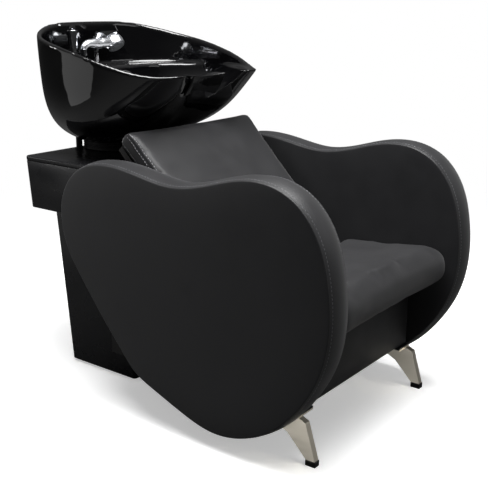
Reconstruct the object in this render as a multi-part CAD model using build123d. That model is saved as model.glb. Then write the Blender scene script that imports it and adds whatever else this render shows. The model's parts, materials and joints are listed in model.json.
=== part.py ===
from build123d import *
import math
import os

# Hair washing bed: an upholstered seat between two rounded arms, with a tilting bowl behind it.
# Millimetres. X across, the sitter faces -Y, Z up from the floor; the origin is under the middle.

# Overall sizes and places along the depth
overall_width = 680.0
overall_depth = 1005.0
front_y = -overall_depth / 2
rear_y = overall_depth / 2
overrun = 20.0
skin_gap = 0.5
soft_gap = 0.4
fit_gap = 0.05
quarter_turn_deg = 90.0

# Arms
arm_width = 82.0
arm_rear_setback = 242.0
arm_height = 581.0
arm_bottom_z = 43.0
arm_crown = 6.0
arm_pad = 8.0
arm_edge_foam = 8.0
arm_edge_round = 3.0
arm_bolt_r = 4.0
arm_bolt_head_r = 7.0
arm_bolt_head = 5.0
arm_bolt_length = 64.0
arm_bolt_inset = 60.0
arm_bolt_rise = 78.0
arm_bolt_spacing = 300.0
arm_outer_x = overall_width / 2
arm_inner_x = arm_outer_x - arm_width
arm_front_y = front_y + arm_crown
arm_length = rear_y - arm_rear_setback - arm_front_y
arm_outline_shares = (
    (1.0, 0.718), (0.975, 0.857), (0.904, 0.943), (0.791, 0.972), (0.666, 0.953), (0.54, 0.931),
    (0.421, 0.953), (0.322, 0.988), (0.217, 1.0), (0.123, 0.96), (0.046, 0.849), (0.008, 0.688),
    (0.0, 0.546), (0.026, 0.36), (0.081, 0.227), (0.174, 0.096), (0.277, 0.022), (0.388, 0.0),
    (0.503, 0.036), (0.625, 0.096), (0.687, 0.134), (0.749, 0.213), (0.832, 0.339), (0.917, 0.48),
    (0.976, 0.599),
)

# Seat base between the arms
board = 18.0
base_bottom_z = 112.0
apron_thickness = 15.0
apron_setback = 128.0
apron_round = 4.0
apron_gap = 2.0
apron_front_y = front_y + apron_setback
base_front_y = apron_front_y + apron_thickness
base_rear_setback = 320.0
base_rear_y = rear_y - base_rear_setback
base_depth = base_rear_y - base_front_y
mid_rail_share = 0.55
cover_thickness = 1.5
cover_margin = 6.0

# Seat deck and cushion, both sloping down to the rear
seat_slope_deg = 5.0
deck_thickness = 15.0
deck_front_setback = 25.0
deck_depth = 490.0
seat_low_z = 299.0
seat_front_setback = 8.0
seat_thickness = 97.0
seat_nose_rake = 8.0
seat_nose_rounds = (34.0, 46.0)
seat_rear_round = 8.0
seat_heel_round = 2.0
seat_side_gap = 2.0
seat_crown = 8.0
seat_draw = 12.0
seat_back_gap = 1.0

# Back, leaning on the deck behind the seat cushion
back_lean_deg = 45.65
back_foot_setback = 335.0
back_foot_y = front_y + back_foot_setback
back_foot_z = 370.0
back_length = 437.7
back_thickness = 51.0
back_side_gap = 14.0
back_half_width = arm_inner_x - back_side_gap
back_top_round = 17.0
back_crown = 7.0
back_draw = 7.0
back_face_round = 150.0
back_board_thickness = 15.0
back_board_margin = 20.0
back_board_setback = 22.0
bracket_thickness = 6.0
bracket_x = 150.0
bracket_rise = 190.0
bracket_foot = 118.0

# Front legs: flat blades that widen to a foot plate
leg_thickness = 16.0
leg_gap = 0.5
leg_plate_thickness = 4.0
leg_plate_width = 56.0
leg_plate_front_setback = 120.5
leg_plate_front_y = front_y + leg_plate_front_setback
leg_plate_depth = 116.0
leg_toe_setback = 77.5
leg_toe_y = front_y + leg_toe_setback
leg_toe_width = 23.0
leg_brow_setback = 103.5
leg_brow_y = front_y + leg_brow_setback
leg_brow_z = 97.0
leg_kink_setback = 149.5
leg_kink_y = front_y + leg_kink_setback
leg_kink_z = 62.0
leg_round = 1.5
spacer_thickness = 4.0
glide_height = 12.0
glide_lip = 1.5
glide_round = 2.0
leg_screw_r = 3.0
leg_screw_head_r = 6.0
leg_screw_head = 3.0
leg_screw_length = 26.0
leg_screw_inset = 14.0

# Shelf box and column under the bowl
shelf_side_gap = 2.0
shelf_half_width = arm_inner_x - shelf_side_gap
shelf_depth = 298.0
shelf_front_y = base_rear_y
shelf_bottom_z = 445.0
shelf_top_z = 580.0
shelf_wall = 12.0
lid_thickness = 12.0
shelf_round = 9.0
lid_round = 5.0
rear_rake_deg = 5.9
column_half_width = 180.0
column_bottom_z = 8.0
column_wall = 12.0
column_glide_r = 14.0
column_glide_inset = 26.0
panel_half_width = 128.0
panel_bottom_z = 46.0
panel_height = 330.0
panel_gap = 0.5
panel_screw_r = 2.5
panel_screw_head_r = 5.5
panel_screw_head = 2.0
panel_screw_inset = 14.0
cleat_width = 26.0
cleat_overlap = 14.0
cleat_end_gap = 4.0
lid_opening_r = 84.0

# Steel support inside the column
floor_plate_width = 200.0
floor_plate_depth = 150.0
floor_plate_thickness = 8.0
floor_hole_r = 5.5
floor_hole_spacing_x = 160.0
floor_hole_spacing_y = 110.0
post_setback = 234.5
post_y = rear_y - post_setback
post_side = 60.0
post_wall = 3.0
support_plate_width = 260.0
support_plate_front_setback = 302.5
support_plate_front_y = rear_y - support_plate_front_setback
support_plate_depth = 228.0
support_plate_thickness = 6.0

# Bowl. Each row gives a level and half of its plan outline, from the middle of the front round to
# the middle of the rear: shares of the half width, and of the length counted from the rear
bowl_half_width = 271.0
bowl_length = 480.0
bowl_foot_z = 606.0
bowl_height = 329.0
bowl_wall = 12.0
bowl_level_shares = (0.0, 0.103, 0.255, 0.422, 0.59, 1.0)
bowl_outline_shares = (
    ((0.0, 0.433), (0.185, 0.425), (0.317, 0.375), (0.4, 0.302), (0.415, 0.219), (0.351, 0.121),
     (0.205, 0.046), (0.0, 0.021)),
    ((0.0, 0.558), (0.258, 0.567), (0.494, 0.552), (0.657, 0.448), (0.7, 0.281), (0.574, 0.125),
     (0.343, 0.04), (0.0, 0.01)),
    ((0.0, 0.688), (0.295, 0.708), (0.609, 0.719), (0.856, 0.552), (0.89, 0.323), (0.75, 0.135),
     (0.465, 0.035), (0.0, 0.004)),
    ((0.0, 0.802), (0.273, 0.833), (0.579, 0.85), (0.889, 0.66), (0.954, 0.396), (0.828, 0.146),
     (0.517, 0.033), (0.0, 0.0)),
    ((0.0, 0.865), (0.244, 0.892), (0.491, 0.967), (0.871, 0.758), (0.974, 0.442), (0.856, 0.15),
     (0.546, 0.035), (0.0, 0.0)),
    ((0.0, 0.875), (0.244, 0.9), (0.505, 0.995), (0.884, 0.781), (1.0, 0.479), (0.878, 0.163),
     (0.565, 0.042), (0.0, 0.0)),
)
# The rim seen from the side: shares of the length from the rear, and of the height above the foot
rim_line_shares = (
    (1.0, 0.587), (0.938, 0.581), (0.875, 0.584), (0.792, 0.608), (0.667, 0.663), (0.479, 0.739),
    (0.333, 0.79), (0.227, 0.824), (0.146, 0.857), (0.083, 0.891), (0.031, 0.921), (0.0, 0.935),
)
bowl_centre_share = 0.48
basin_floor_z = 668.0
deck_z = 795.0
deck_front_setback = 101.5
deck_front_y = rear_y - deck_front_setback
basin_level_shares = (0.0, 0.18, 0.5, 1.0)
basin_half_width_shares = (0.24, 0.55, 0.8, 0.925)
basin_tip_shares = (0.46, 0.585, 0.727, 0.915)
basin_notch_shares = (0.46, 0.557, 0.674, 0.8)
basin_across_shares = (0.0, 0.51, 0.93, 1.0, 0.8, 0.0)
basin_along_shares = (1.0, 1.0, 0.7, 0.36, 0.07, 0.0)
neck_scoop_r = 370.0
neck_scoop_z = 781.0
neck_scoop_depth = 140.0
foot_hollow_height = 46.0
duct_half_width = 124.0
duct_front_gap = 12.0
duct_rear_setback = 27.5
duct_rear_y = rear_y - duct_rear_setback
duct_corner_setback = 47.5
duct_corner_y = rear_y - duct_corner_setback
duct_corner_x = 96.0
duct_overlap = 1.0

# Neck rest lying over the front edge of the bowl
neck_rest_half_width = 62.0
neck_rest_thickness = 13.0
neck_rest_cap = 7.0
neck_rest_bottom_z = 716.0
neck_rest_lip_depth = 24.0
neck_rest_round = 22.0

# Drain
drain_setback = 155.0
drain_y = rear_y - drain_setback
drain_flange_r = 31.0
drain_flange_thickness = 2.5
drain_tube_r = 21.5
drain_tube_bore = 20.0
drain_ledge_bore = 16.5
drain_ledge_z = 660.0
drain_tube_bottom_z = 634.0
strainer_r = 19.7
strainer_thickness = 2.0
strainer_hole_r = 1.6
strainer_holes = 10
strainer_ring_r = 13.0
strainer_knob_r = 4.0
strainer_knob_height = 7.0
waste_r = 19.0
waste_bore = 16.0
waste_coupling_r = 23.0
waste_coupling_height = 30.0
waste_outlet_z = 92.0
waste_bend_r = 40.0
waste_spigot_length = 16.0
waste_socket_z = 160.0

# Tilt hinge under the bowl
hinge_setback = 109.0
hinge_y = rear_y - hinge_setback
hinge_z = 600.0
pin_r = 8.0
pin_half_length = 55.0
pin_ring_r = 12.0
pin_ring_thickness = 2.5
yoke_half_width = 60.0
yoke_plate_thickness = 5.0
yoke_plate_half_depth = 22.0
yoke_ear_x = 44.0
yoke_ear_thickness = 6.0
yoke_ear_r = 13.0
cradle_ear_thickness = 6.0
cradle_ear_r = 13.0
cradle_plate_thickness = 5.0
cradle_plate_half_width = 58.0
cradle_plate_front_setback = 184.5
cradle_plate_front_y = rear_y - cradle_plate_front_setback
cradle_plate_depth = 104.0
yoke_bolt_r = 4.0
yoke_bolt_head_r = 6.5
yoke_bolt_head = 4.0
yoke_bolt_inset = 9.0
ear_side_gap = 0.5

# Rubber bellows round the hinge
bellows_r = 97.0
bellows_groove = 7.0
bellows_bore = 86.0
bellows_ribs = 4

# Mixer on the bowl's deck
mixer_x = -104.0
mixer_setback = 54.0
mixer_y = rear_y - mixer_setback
mixer_r = 13.0
mixer_flange_r = 15.0
mixer_flange_thickness = 4.0
mixer_top_z = 879.0
mixer_shank_r = 9.0
mixer_nut_r = 14.0
mixer_nut_height = 7.0
mixer_shank_length = 22.0
spindle_r = 5.0
spindle_height = 8.0
cap_r = 14.0
cap_height = 12.0
cap_edge_round = 1.5
lug_r = 4.6
lug_width = 8.0
lever_pin_r = 2.2
lever_cheek = 3.2
lever_pivot_rise = 7.0
lever_thickness = 3.5
lever_width = 18.0
lever_left = 42.0
lever_right = 34.0
lever_tip = 14.0
lever_tip_drop = 9.0
lever_round = 6.0

# Hand shower lying on its holder
handset_setback = 74.0
handset_y = rear_y - handset_setback
handset_z = 857.0
handset_end_x = -85.0
handset_end_z = 842.0
handle_start_x = -58.0
handle_mid_x = -22.0
handle_end_r = 8.0
handle_start_r = 11.0
handle_r = 13.0
head_x = 28.0
head_r = 24.0
head_depth = 14.0
head_pitch_deg = 50.0
face_r = 20.0
face_thickness = 4.0
face_rise = 1.5
nozzle_rings = ((3, 5.5), (8, 11.0), (13, 16.5))
nozzle_r = 1.1
nozzle_height = 1.2
nut_r = 9.5
nut_height = 15.0
hose_r = 6.0
guide_r = 12.0
guide_height = 5.0
guide_shank_r = 9.4
guide_nut_r = 12.4
guide_nut_height = 6.0
guide_gap = 0.5

# Holder of the hand shower
holder_x = -8.0
holder_width = 12.0
holder_setback = 40.5
holder_y = rear_y - holder_setback
holder_post_r = 6.0
holder_flange_r = 13.0
holder_flange_thickness = 4.0
holder_cradle_wall = 3.5
holder_cradle_from_deg = -125.0
holder_cradle_to_deg = 12.0
holder_plate_setback = 45.0
holder_plate_y = rear_y - holder_plate_setback
holder_plate_thickness = 2.5
holder_plate_right_x = 62.0
holder_plate_bottom_z = 840.0
holder_top_z = 884.0
holder_top_depth = 14.0
holder_fin_height = 13.0
holder_fin_depth = 22.0

# Hoses between the bowl and the column
supply_hose_r = 6.0
grommet_r = 9.0
grommet_height = 3.0
hose_hole_gap = 1.5
tail_circle_r = 8.6
inlet_z = 92.0
inlet_r = 10.0
inlet_bore = 6.0
inlet_nipple_length = 14.0
clip_groove_reach = 5.0
clip_groove_width = 3.0
clip_groove_depth = 1.0
inlet_socket_z = 140.0
inlet_body_r = 13.0
hot_x = -100.0
cold_x = -52.0
inlet_inner_setback = 117.5
inlet_inner_y = rear_y - inlet_inner_setback
valve_knob_r = 11.0
valve_knob_length = 12.0
valve_body_below = 14.0
hot_entry_x = -101.0
hot_entry_setback = 55.0
hot_entry_y = rear_y - hot_entry_setback
cold_entry_x = -84.0
cold_entry_setback = 44.0
cold_entry_y = rear_y - cold_entry_setback
hot_tail_deg = 190.0
cold_tail_deg = 85.0
outlet_tail_deg = 340.0
hose_turn_z = 532.0
column_run_places = ((478.0, 0.4), (415.0, 0.86), (340.0, 1.06), (250.0, 1.0))
tail_run_z = 735.0
hot_waypoint = (-104.0, hot_entry_y, 692.0)
cold_waypoint = (-91.0, cold_entry_y, 692.0)
loop_start_z = 740.0
loop_end_z = 745.0
# Points of the loop: across, forward of the rear, level
loop_route = (
    (-73.0, 68.5, 690.0), (-57.0, 60.5, 645.0), (-50.0, 57.5, 600.0), (-49.0, 61.5, 540.0),
    (-40.0, 84.5, 475.0), (-31.0, 105.5, 410.0), (-29.0, 111.5, 335.0), (-25.0, 113.5, 265.0),
    (2.0, 113.5, 222.0), (48.0, 113.5, 222.0), (77.0, 112.5, 265.0), (80.0, 110.5, 335.0),
    (74.0, 103.5, 405.0), (55.0, 82.5, 470.0), (36.0, 56.5, 535.0), (30.0, 47.5, 600.0),
    (20.0, 49.5, 638.0), (-8.0, 53.5, 668.0), (-45.0, 56.5, 692.0), (-80.0, 57.5, 715.0),
)


def box_between(x0, x1, y0, y1, z0, z1):
    middle = Pos((x0 + x1) / 2, (y0 + y1) / 2, (z0 + z1) / 2)
    return middle * Box(x1 - x0, y1 - y0, z1 - z0)


def side_plate(points, x0, x1):
    """A flat outline seen from the side, in Y and Z, made into a plate from x0 to x1."""
    face = Plane.YZ.offset(x0) * make_face(Polyline(*points, close=True))
    return extrude(face, amount=x1 - x0)


def upright(x, y, z0, z1, radius):
    return Pos(x, y, (z0 + z1) / 2) * Cylinder(radius, z1 - z0)


def crossways(x0, x1, y, z, radius):
    return Pos((x0 + x1) / 2, y, z) * Rot(0, quarter_turn_deg, 0) * Cylinder(radius, x1 - x0)


def lengthways(x, y0, y1, z, radius):
    return Pos(x, (y0 + y1) / 2, z) * Rot(quarter_turn_deg, 0, 0) * Cylinder(radius, y1 - y0)


def tube(route, radii, outer, bore=0):
    """A round hose along straight runs joined by tangent arcs."""
    line = FilletPolyline(*route, radius=radii)
    start = Plane(origin=line @ 0, z_dir=line % 0)
    profile = start * Circle(outer)
    if bore:
        profile = profile - start * Circle(bore)
    hose = sweep(profile, path=line)
    section = math.pi * (outer**2 - bore**2)
    print("hose length", round(line.length), "radii", [round(r) for r in radii],
          "volume share", hose.volume / (section * line.length))
    return hose


def arc_radii(route, share=0.45):
    """The largest radius that each corner of a route has room for."""
    radii = []
    points = [Vector(*p) for p in route]
    for before, corner, after in zip(points, points[1:], points[2:]):
        turn = math.radians((corner - before).get_angle(after - corner))
        shorter = min((corner - before).length, (after - corner).length)
        radii.append(share * shorter / math.tan(turn / 2))
    return radii


# Arms

def arm_face(x, grow):
    """The arm's side outline at one X, grown on all sides."""
    length = arm_length + 2 * grow
    height = arm_height + 2 * grow
    points = [(arm_front_y - grow + length * y, arm_bottom_z - grow + height * z)
              for y, z in arm_outline_shares]
    return Plane.YZ.offset(x) * make_face(Spline(*points, periodic=True))


def arm_slab(x0, x1, grow):
    return extrude(arm_face(x0, grow), amount=x1 - x0)


def arm_bolt_places():
    """Where the bolts from the seat base go into each arm: Y and Z."""
    y = base_front_y + arm_bolt_inset
    z = base_bottom_z + arm_bolt_rise
    return ((y, z), (y + arm_bolt_spacing, z))


def arm_core():
    slab = arm_slab(arm_inner_x + arm_pad, arm_outer_x - arm_pad, -arm_edge_foam)
    return slab - arm_bolt_holes()


def arm_bolt_holes():
    holes = [crossways(arm_inner_x - overrun, arm_inner_x - board + arm_bolt_length, y, z,
                       arm_bolt_r + fit_gap) for y, z in arm_bolt_places()]
    return holes[0] + holes[1]


def arm_bolts():
    bolts = []
    start = arm_inner_x - board
    for y, z in arm_bolt_places():
        bolt = (crossways(start, start + arm_bolt_length, y, z, arm_bolt_r)
                + crossways(start - arm_bolt_head, start, y, z, arm_bolt_head_r))
        bolts += [bolt, mirror(bolt, about=Plane.YZ)]
    return Compound(children=bolts)


def arm_band():
    middle = (arm_inner_x + arm_outer_x) / 2
    body = loft([arm_face(arm_inner_x + arm_pad, 0), arm_face(middle, arm_crown),
                 arm_face(arm_outer_x - arm_pad, 0)])
    return body - arm_slab(arm_inner_x + arm_pad, arm_outer_x - arm_pad, -arm_edge_foam)


def arm_pad_slab(x0, x1, outside):
    """A padded face panel whose outer edge is drawn in."""
    shoulder = x1 - arm_edge_round if outside else x0 + arm_edge_round
    edge = x1 if outside else x0
    seat = x0 if outside else x1
    order = sorted([(seat, 0), (shoulder, 0), (edge, -arm_edge_round)])
    return loft([arm_face(x, grow) for x, grow in order], ruled=True)


def arm_parts():
    outer = arm_pad_slab(arm_outer_x - arm_pad, arm_outer_x, True)
    inner = arm_pad_slab(arm_inner_x, arm_inner_x + arm_pad, False) - arm_bolt_holes()
    right = {"arm_core": arm_core(), "arm_band": arm_band(), "arm_outer_pad": outer,
             "arm_inner_pad": inner}
    parts = {}
    for name, shape in right.items():
        parts[name + "_right"] = shape
        parts[name + "_left"] = mirror(shape, about=Plane.YZ)
    return parts


# Seat base, deck and cushion

def seat_line_z(y):
    """Height of the deck's top at one place along the depth."""
    slope = math.tan(math.radians(seat_slope_deg))
    return seat_low_z - (y - (front_y + seat_front_setback)) * slope


def base_frame():
    x = arm_inner_x
    def deck_under(y):
        return seat_line_z(y) - deck_thickness
    deck_rear_y = front_y + deck_front_setback + deck_depth
    side = [(base_front_y, base_bottom_z), (base_rear_y, base_bottom_z),
            (base_rear_y, deck_under(deck_rear_y)), (deck_rear_y, deck_under(deck_rear_y)),
            (base_front_y, deck_under(base_front_y))]
    frame = side_plate(side, x - board, x) + side_plate(side, -x, board - x)
    middle = base_front_y + mid_rail_share * base_depth
    for y in (base_front_y, middle, base_rear_y - board):
        top = deck_under(min(y + board, deck_rear_y))
        frame += box_between(board - x, x - board, y, y + board, base_bottom_z, top)
    for bolt in arm_bolt_places():
        frame -= crossways(-x - overrun, x + overrun, *bolt, arm_bolt_r + fit_gap)
    return frame


def front_apron():
    x = arm_inner_x - apron_gap
    top = seat_line_z(base_front_y) - deck_thickness
    panel = box_between(-x, x, apron_front_y, base_front_y, base_bottom_z, top)
    front_edges = panel.faces().sort_by(Axis.Y)[0].edges()
    return fillet(front_edges, apron_round)


def underside_cover():
    x = arm_inner_x - cover_margin
    front = leg_plate_front_y + leg_plate_depth + cover_margin
    return box_between(-x, x, front, base_rear_y - cover_margin,
                       base_bottom_z - cover_thickness, base_bottom_z)


def seat_deck():
    x = arm_inner_x
    front = front_y + deck_front_setback
    rear = front + deck_depth
    return side_plate([(front, seat_line_z(front)), (rear, seat_line_z(rear)),
                       (rear, seat_line_z(rear) - deck_thickness),
                       (front, seat_line_z(front) - deck_thickness)], -x, x)


def cushion_loft(width, draw, crown, section):
    """A crowned pad: sections across the width, drawn in at both sides."""
    width_shares = (-1.0, -0.975, -0.9, -0.5, 0.0, 0.5, 0.9, 0.975, 1.0)
    draw_shares = (1.0, 0.35, 0.0, 0.0, 0.0, 0.0, 0.0, 0.35, 1.0)
    crown_shares = (0.08, 0.08, 0.16, 0.75, 1.0, 0.75, 0.16, 0.08, 0.08)
    faces = []
    for across, drawn, raised in zip(width_shares, draw_shares, crown_shares):
        faces.append(section(across * width, drawn * draw, raised * crown))
    return loft(faces, ruled=True)


def seat_cushion():
    front = front_y + seat_front_setback
    rear_low = back_point(down_to_deck(0), 0)[0] - seat_back_gap
    def section(x, drawn, raised):
        low_front = (front + drawn, seat_line_z(front) + drawn / 2)
        low_rear = (rear_low, seat_line_z(rear_low))
        rise = seat_thickness - drawn + raised
        run = rise * up_y / (up_z + up_y * math.tan(math.radians(seat_slope_deg)))
        top_rear = (rear_low + run, seat_line_z(rear_low + run) + rise)
        top_front_y = front + seat_nose_rake
        top_front = (top_front_y + drawn, seat_line_z(top_front_y) + rise)
        outline = FilletPolyline(low_front, low_rear, top_rear, top_front, close=True,
                                 radius=[seat_nose_rounds[0] - drawn, seat_heel_round, seat_rear_round,
                                         seat_nose_rounds[1] - drawn])
        return Plane.YZ.offset(x) * make_face(outline)
    return cushion_loft(arm_inner_x - seat_side_gap, seat_draw, seat_crown, section)


# Back

lean = math.radians(back_lean_deg)
up_y, up_z = math.cos(lean), math.sin(lean)
out_y, out_z = math.sin(lean), -math.cos(lean)


def back_point(along, behind):
    """A point of the back's side view: along the face from its foot, and behind the face."""
    return (back_foot_y + along * up_y + behind * out_y, back_foot_z + along * up_z + behind * out_z)


def down_to_deck(behind):
    """How far along the back's own line the deck lies, for a given depth behind the face."""
    slope = math.tan(math.radians(seat_slope_deg))
    y, z = back_point(0, behind)
    return (seat_line_z(y) - z) / (up_z + slope * up_y)


def back_cushion():
    front_shares = (0.02, 0.3, 0.72)
    def section(x, drawn, raised):
        rear_foot = down_to_deck(back_thickness)
        top = back_length - drawn
        sunk = drawn / 2
        low, middle, high = (share * back_length for share in front_shares)
        outline = FilletPolyline(
            back_point(down_to_deck(sunk), sunk), back_point(low, sunk), back_point(middle, sunk - raised),
            back_point(high, sunk - raised), back_point(top, sunk),
            back_point(top, back_thickness), back_point(rear_foot, back_thickness), close=True,
            radius=[0, back_face_round, back_face_round, back_face_round, back_top_round,
                    back_top_round, 0])
        return Plane.YZ.offset(x) * make_face(outline)
    return cushion_loft(back_half_width, back_draw, back_crown, section)


def back_board():
    near = back_thickness
    far = back_thickness + back_board_thickness
    top = back_length - back_board_setback
    x = back_half_width - back_board_margin
    return side_plate([back_point(down_to_deck(near), near), back_point(top, near),
                       back_point(top, far), back_point(down_to_deck(far), far)], -x, x)


def back_brackets():
    far = back_thickness + back_board_thickness
    foot = down_to_deck(far)
    foot_y = back_point(foot, far)[0]
    rear = foot_y + bracket_foot
    points = [back_point(foot, far), back_point(foot + bracket_rise, far), (rear, seat_line_z(rear))]
    half = bracket_thickness / 2
    plates = [side_plate(points, x - half, x + half) for x in (-bracket_x, bracket_x)]
    return Compound(children=plates)


# Front legs

def leg_x():
    return arm_inner_x - leg_gap


def front_leg():
    x = leg_x()
    top = base_bottom_z - spacer_thickness
    under = top - leg_plate_thickness
    plate_rear = leg_plate_front_y + leg_plate_depth
    blade = side_plate([(leg_toe_y, glide_height), (leg_toe_y + leg_toe_width, glide_height),
                        (leg_kink_y, leg_kink_z), (plate_rear, under), (leg_plate_front_y, under),
                        (leg_brow_y, leg_brow_z)], x - leg_thickness, x)
    blade = fillet(blade.faces().sort_by(Axis.Y)[0].edges().filter_by(Axis.Z, reverse=True), leg_round)
    plate = box_between(x - leg_plate_width, x, leg_plate_front_y, plate_rear, under, top)
    for y in screw_rows():
        plate -= upright(screw_x(), y, under - overrun, top + overrun, leg_screw_r + fit_gap)
    return blade + plate


def screw_x():
    return leg_x() - leg_plate_width + leg_screw_inset


def screw_rows():
    return (leg_plate_front_y + leg_plate_depth / 2, leg_plate_front_y + leg_plate_depth - leg_screw_inset)


def leg_spacer():
    x = leg_x()
    top = base_bottom_z
    plate = box_between(x - leg_plate_width, x, leg_plate_front_y, leg_plate_front_y + leg_plate_depth,
                        top - spacer_thickness, top)
    for y in screw_rows():
        plate -= upright(screw_x(), y, top - overrun, top + overrun, leg_screw_r + fit_gap)
    return plate


def leg_glide():
    x = leg_x()
    cap = box_between(x - leg_thickness - glide_lip, x + glide_lip, leg_toe_y - glide_lip,
                      leg_toe_y + leg_toe_width + glide_lip, 0, glide_height)
    return fillet(cap.edges().filter_by(Axis.Z), glide_round)


def leg_screws():
    under = base_bottom_z - spacer_thickness - leg_plate_thickness
    screws = []
    for y in screw_rows():
        shank = upright(screw_x(), y, under, under + leg_screw_length, leg_screw_r)
        screws.append(shank + upright(screw_x(), y, under - leg_screw_head, under, leg_screw_head_r))
    return screws


# Shelf box and column

def rear_line_y(z):
    """The slanting rear face shared by the shelf box and the column."""
    top_y = shelf_front_y + shelf_depth
    return top_y - (shelf_top_z - z) * math.tan(math.radians(rear_rake_deg))


def raked_block(half, front, z0, z1, inset):
    """A block whose rear face follows the rear line, less an inset."""
    return side_plate([(front, z0), (rear_line_y(z0) - inset, z0), (rear_line_y(z1) - inset, z1),
                       (front, z1)], -half, half)


def shelf_box():
    top = shelf_top_z - lid_thickness
    box = raked_block(shelf_half_width, shelf_front_y, shelf_bottom_z, top, 0)
    corners = box.edges().filter_by(lambda e: abs((e % 0).Z) > abs((e % 0).X) + abs((e % 0).Y))
    box = fillet(corners, shelf_round)
    box -= raked_block(shelf_half_width - shelf_wall, shelf_front_y + shelf_wall,
                       shelf_bottom_z + shelf_wall, top + overrun, shelf_wall)
    inside = column_half_width - column_wall
    return box - box_between(-inside, inside, shelf_front_y + column_wall, column_rear_inside(),
                             shelf_bottom_z - overrun, shelf_bottom_z + shelf_wall + overrun)


def column_rear_inside():
    return rear_line_y(shelf_bottom_z) - column_wall


def shelf_top():
    lid = raked_block(shelf_half_width, shelf_front_y, shelf_top_z - lid_thickness, shelf_top_z, 0)
    corners = lid.edges().filter_by(lambda e: abs((e % 0).Z) > abs((e % 0).X) + abs((e % 0).Y))
    lid = fillet(corners, shelf_round)
    lid = fillet(lid.faces().sort_by(Axis.Z)[-1].edges(), lid_round)
    lid -= upright(0, hinge_y, shelf_top_z - lid_thickness - overrun, shelf_top_z + overrun, lid_opening_r)
    for x, y in hose_places():
        lid -= upright(x, y, shelf_top_z - lid_thickness - overrun, shelf_top_z + overrun,
                       supply_hose_r + hose_hole_gap)
    return lid


def hose_places():
    """Where the hot and the cold hose pass through the shelf's top."""
    return ((hot_entry_x, hot_entry_y), (cold_entry_x, cold_entry_y))


def column_shell():
    shell = raked_block(column_half_width, shelf_front_y, column_bottom_z, shelf_bottom_z, 0)
    corners = shell.edges().filter_by(lambda e: abs((e % 0).Z) > abs((e % 0).X) + abs((e % 0).Y))
    shell = fillet(corners, shelf_round)
    shell -= raked_block(column_half_width - column_wall, shelf_front_y + column_wall,
                         column_bottom_z - overrun, shelf_bottom_z + overrun, column_wall)
    opening = box_between(-panel_half_width, panel_half_width, post_y + post_side, rear_y,
                          panel_bottom_z, panel_bottom_z + panel_height)
    shell -= opening
    for side in (-1, 1):
        shell += cleat(side)
    return shell


def cleat(side):
    """A batten behind each edge of the service opening, which the panel's screws bite into."""
    inner = panel_half_width - cleat_overlap
    low, high = panel_bottom_z + cleat_end_gap, panel_bottom_z + panel_height - cleat_end_gap
    strip = side_plate([(rear_line_y(low) - column_wall - cleat_width, low),
                        (rear_line_y(low) - column_wall, low), (rear_line_y(high) - column_wall, high),
                        (rear_line_y(high) - column_wall - cleat_width, high)], inner,
                       inner + cleat_width + cleat_overlap)
    strip = mirror(strip, about=Plane.YZ) if side < 0 else strip
    for x, z in panel_screw_places():
        y = rear_line_y(z)
        strip -= lengthways(x, y - column_wall - cleat_width, y, z, panel_screw_r + fit_gap)
    return strip


def panel_screw_places():
    x = panel_half_width - cleat_overlap / 2
    rows = (panel_bottom_z + panel_screw_inset, panel_bottom_z + panel_height - panel_screw_inset)
    return [(side * x, z) for side in (-1, 1) for z in rows]


def service_panel():
    half = panel_half_width - panel_gap
    z0, z1 = panel_bottom_z + panel_gap, panel_bottom_z + panel_height - panel_gap
    panel = side_plate([(rear_line_y(z0) - column_wall, z0), (rear_line_y(z0), z0),
                        (rear_line_y(z1), z1), (rear_line_y(z1) - column_wall, z1)], -half, half)
    panel -= lengthways(0, post_y, rear_y, waste_outlet_z, waste_r + fit_gap)
    for x in (hot_x, cold_x):
        panel -= lengthways(x, post_y, rear_y, inlet_z, inlet_r + fit_gap)
    for x, z in panel_screw_places():
        panel -= lengthways(x, post_y, rear_y, z, panel_screw_r + fit_gap)
    return panel


def service_screws():
    screws = []
    for x, z in panel_screw_places():
        y = rear_line_y(z + panel_screw_head_r)
        shank = lengthways(x, y - column_wall - cleat_width / 2, y, z, panel_screw_r)
        screws.append(shank + lengthways(x, y, y + panel_screw_head, z, panel_screw_head_r))
    return Compound(children=screws)


def column_glides():
    x = column_half_width - column_glide_inset
    near = shelf_front_y + column_glide_inset
    far = rear_line_y(column_bottom_z) - column_glide_inset
    feet = []
    for cx in (-x, x):
        for y in (near, far):
            feet.append(upright(cx, y, 0, column_bottom_z, column_glide_r))
    return Compound(children=feet)


def glide_blocks():
    """Corner blocks inside the column that its glides are nailed to."""
    x1 = column_half_width - column_wall
    x0 = x1 - 2 * column_glide_inset
    y0 = shelf_front_y + column_wall
    y1 = y0 + 2 * column_glide_inset
    rear = rear_line_y(column_bottom_z) - column_wall
    blocks = []
    for side in (-1, 1):
        for a, b in ((y0, y1), (rear - 2 * column_glide_inset, rear)):
            low, high = sorted((side * x0, side * x1))
            blocks.append(box_between(low, high, a, b, column_bottom_z, panel_bottom_z))
    return Compound(children=blocks)


# Steel support

def floor_holes():
    return [(sx * floor_hole_spacing_x / 2, post_y + sy * floor_hole_spacing_y / 2)
            for sx in (-1, 1) for sy in (-1, 1)]


def floor_plate():
    half = floor_plate_width / 2
    plate = box_between(-half, half, post_y - floor_plate_depth / 2, post_y + floor_plate_depth / 2,
                        0, floor_plate_thickness)
    for x, y in floor_holes():
        plate -= upright(x, y, -overrun, floor_plate_thickness + overrun, floor_hole_r)
    return plate


def steel_post():
    half = post_side / 2
    inner = half - post_wall
    top = shelf_top_z - lid_thickness - support_plate_thickness
    post = box_between(-half, half, post_y - half, post_y + half, floor_plate_thickness, top)
    return post - box_between(-inner, inner, post_y - inner, post_y + inner,
                              floor_plate_thickness - overrun, top + overrun)


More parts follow.
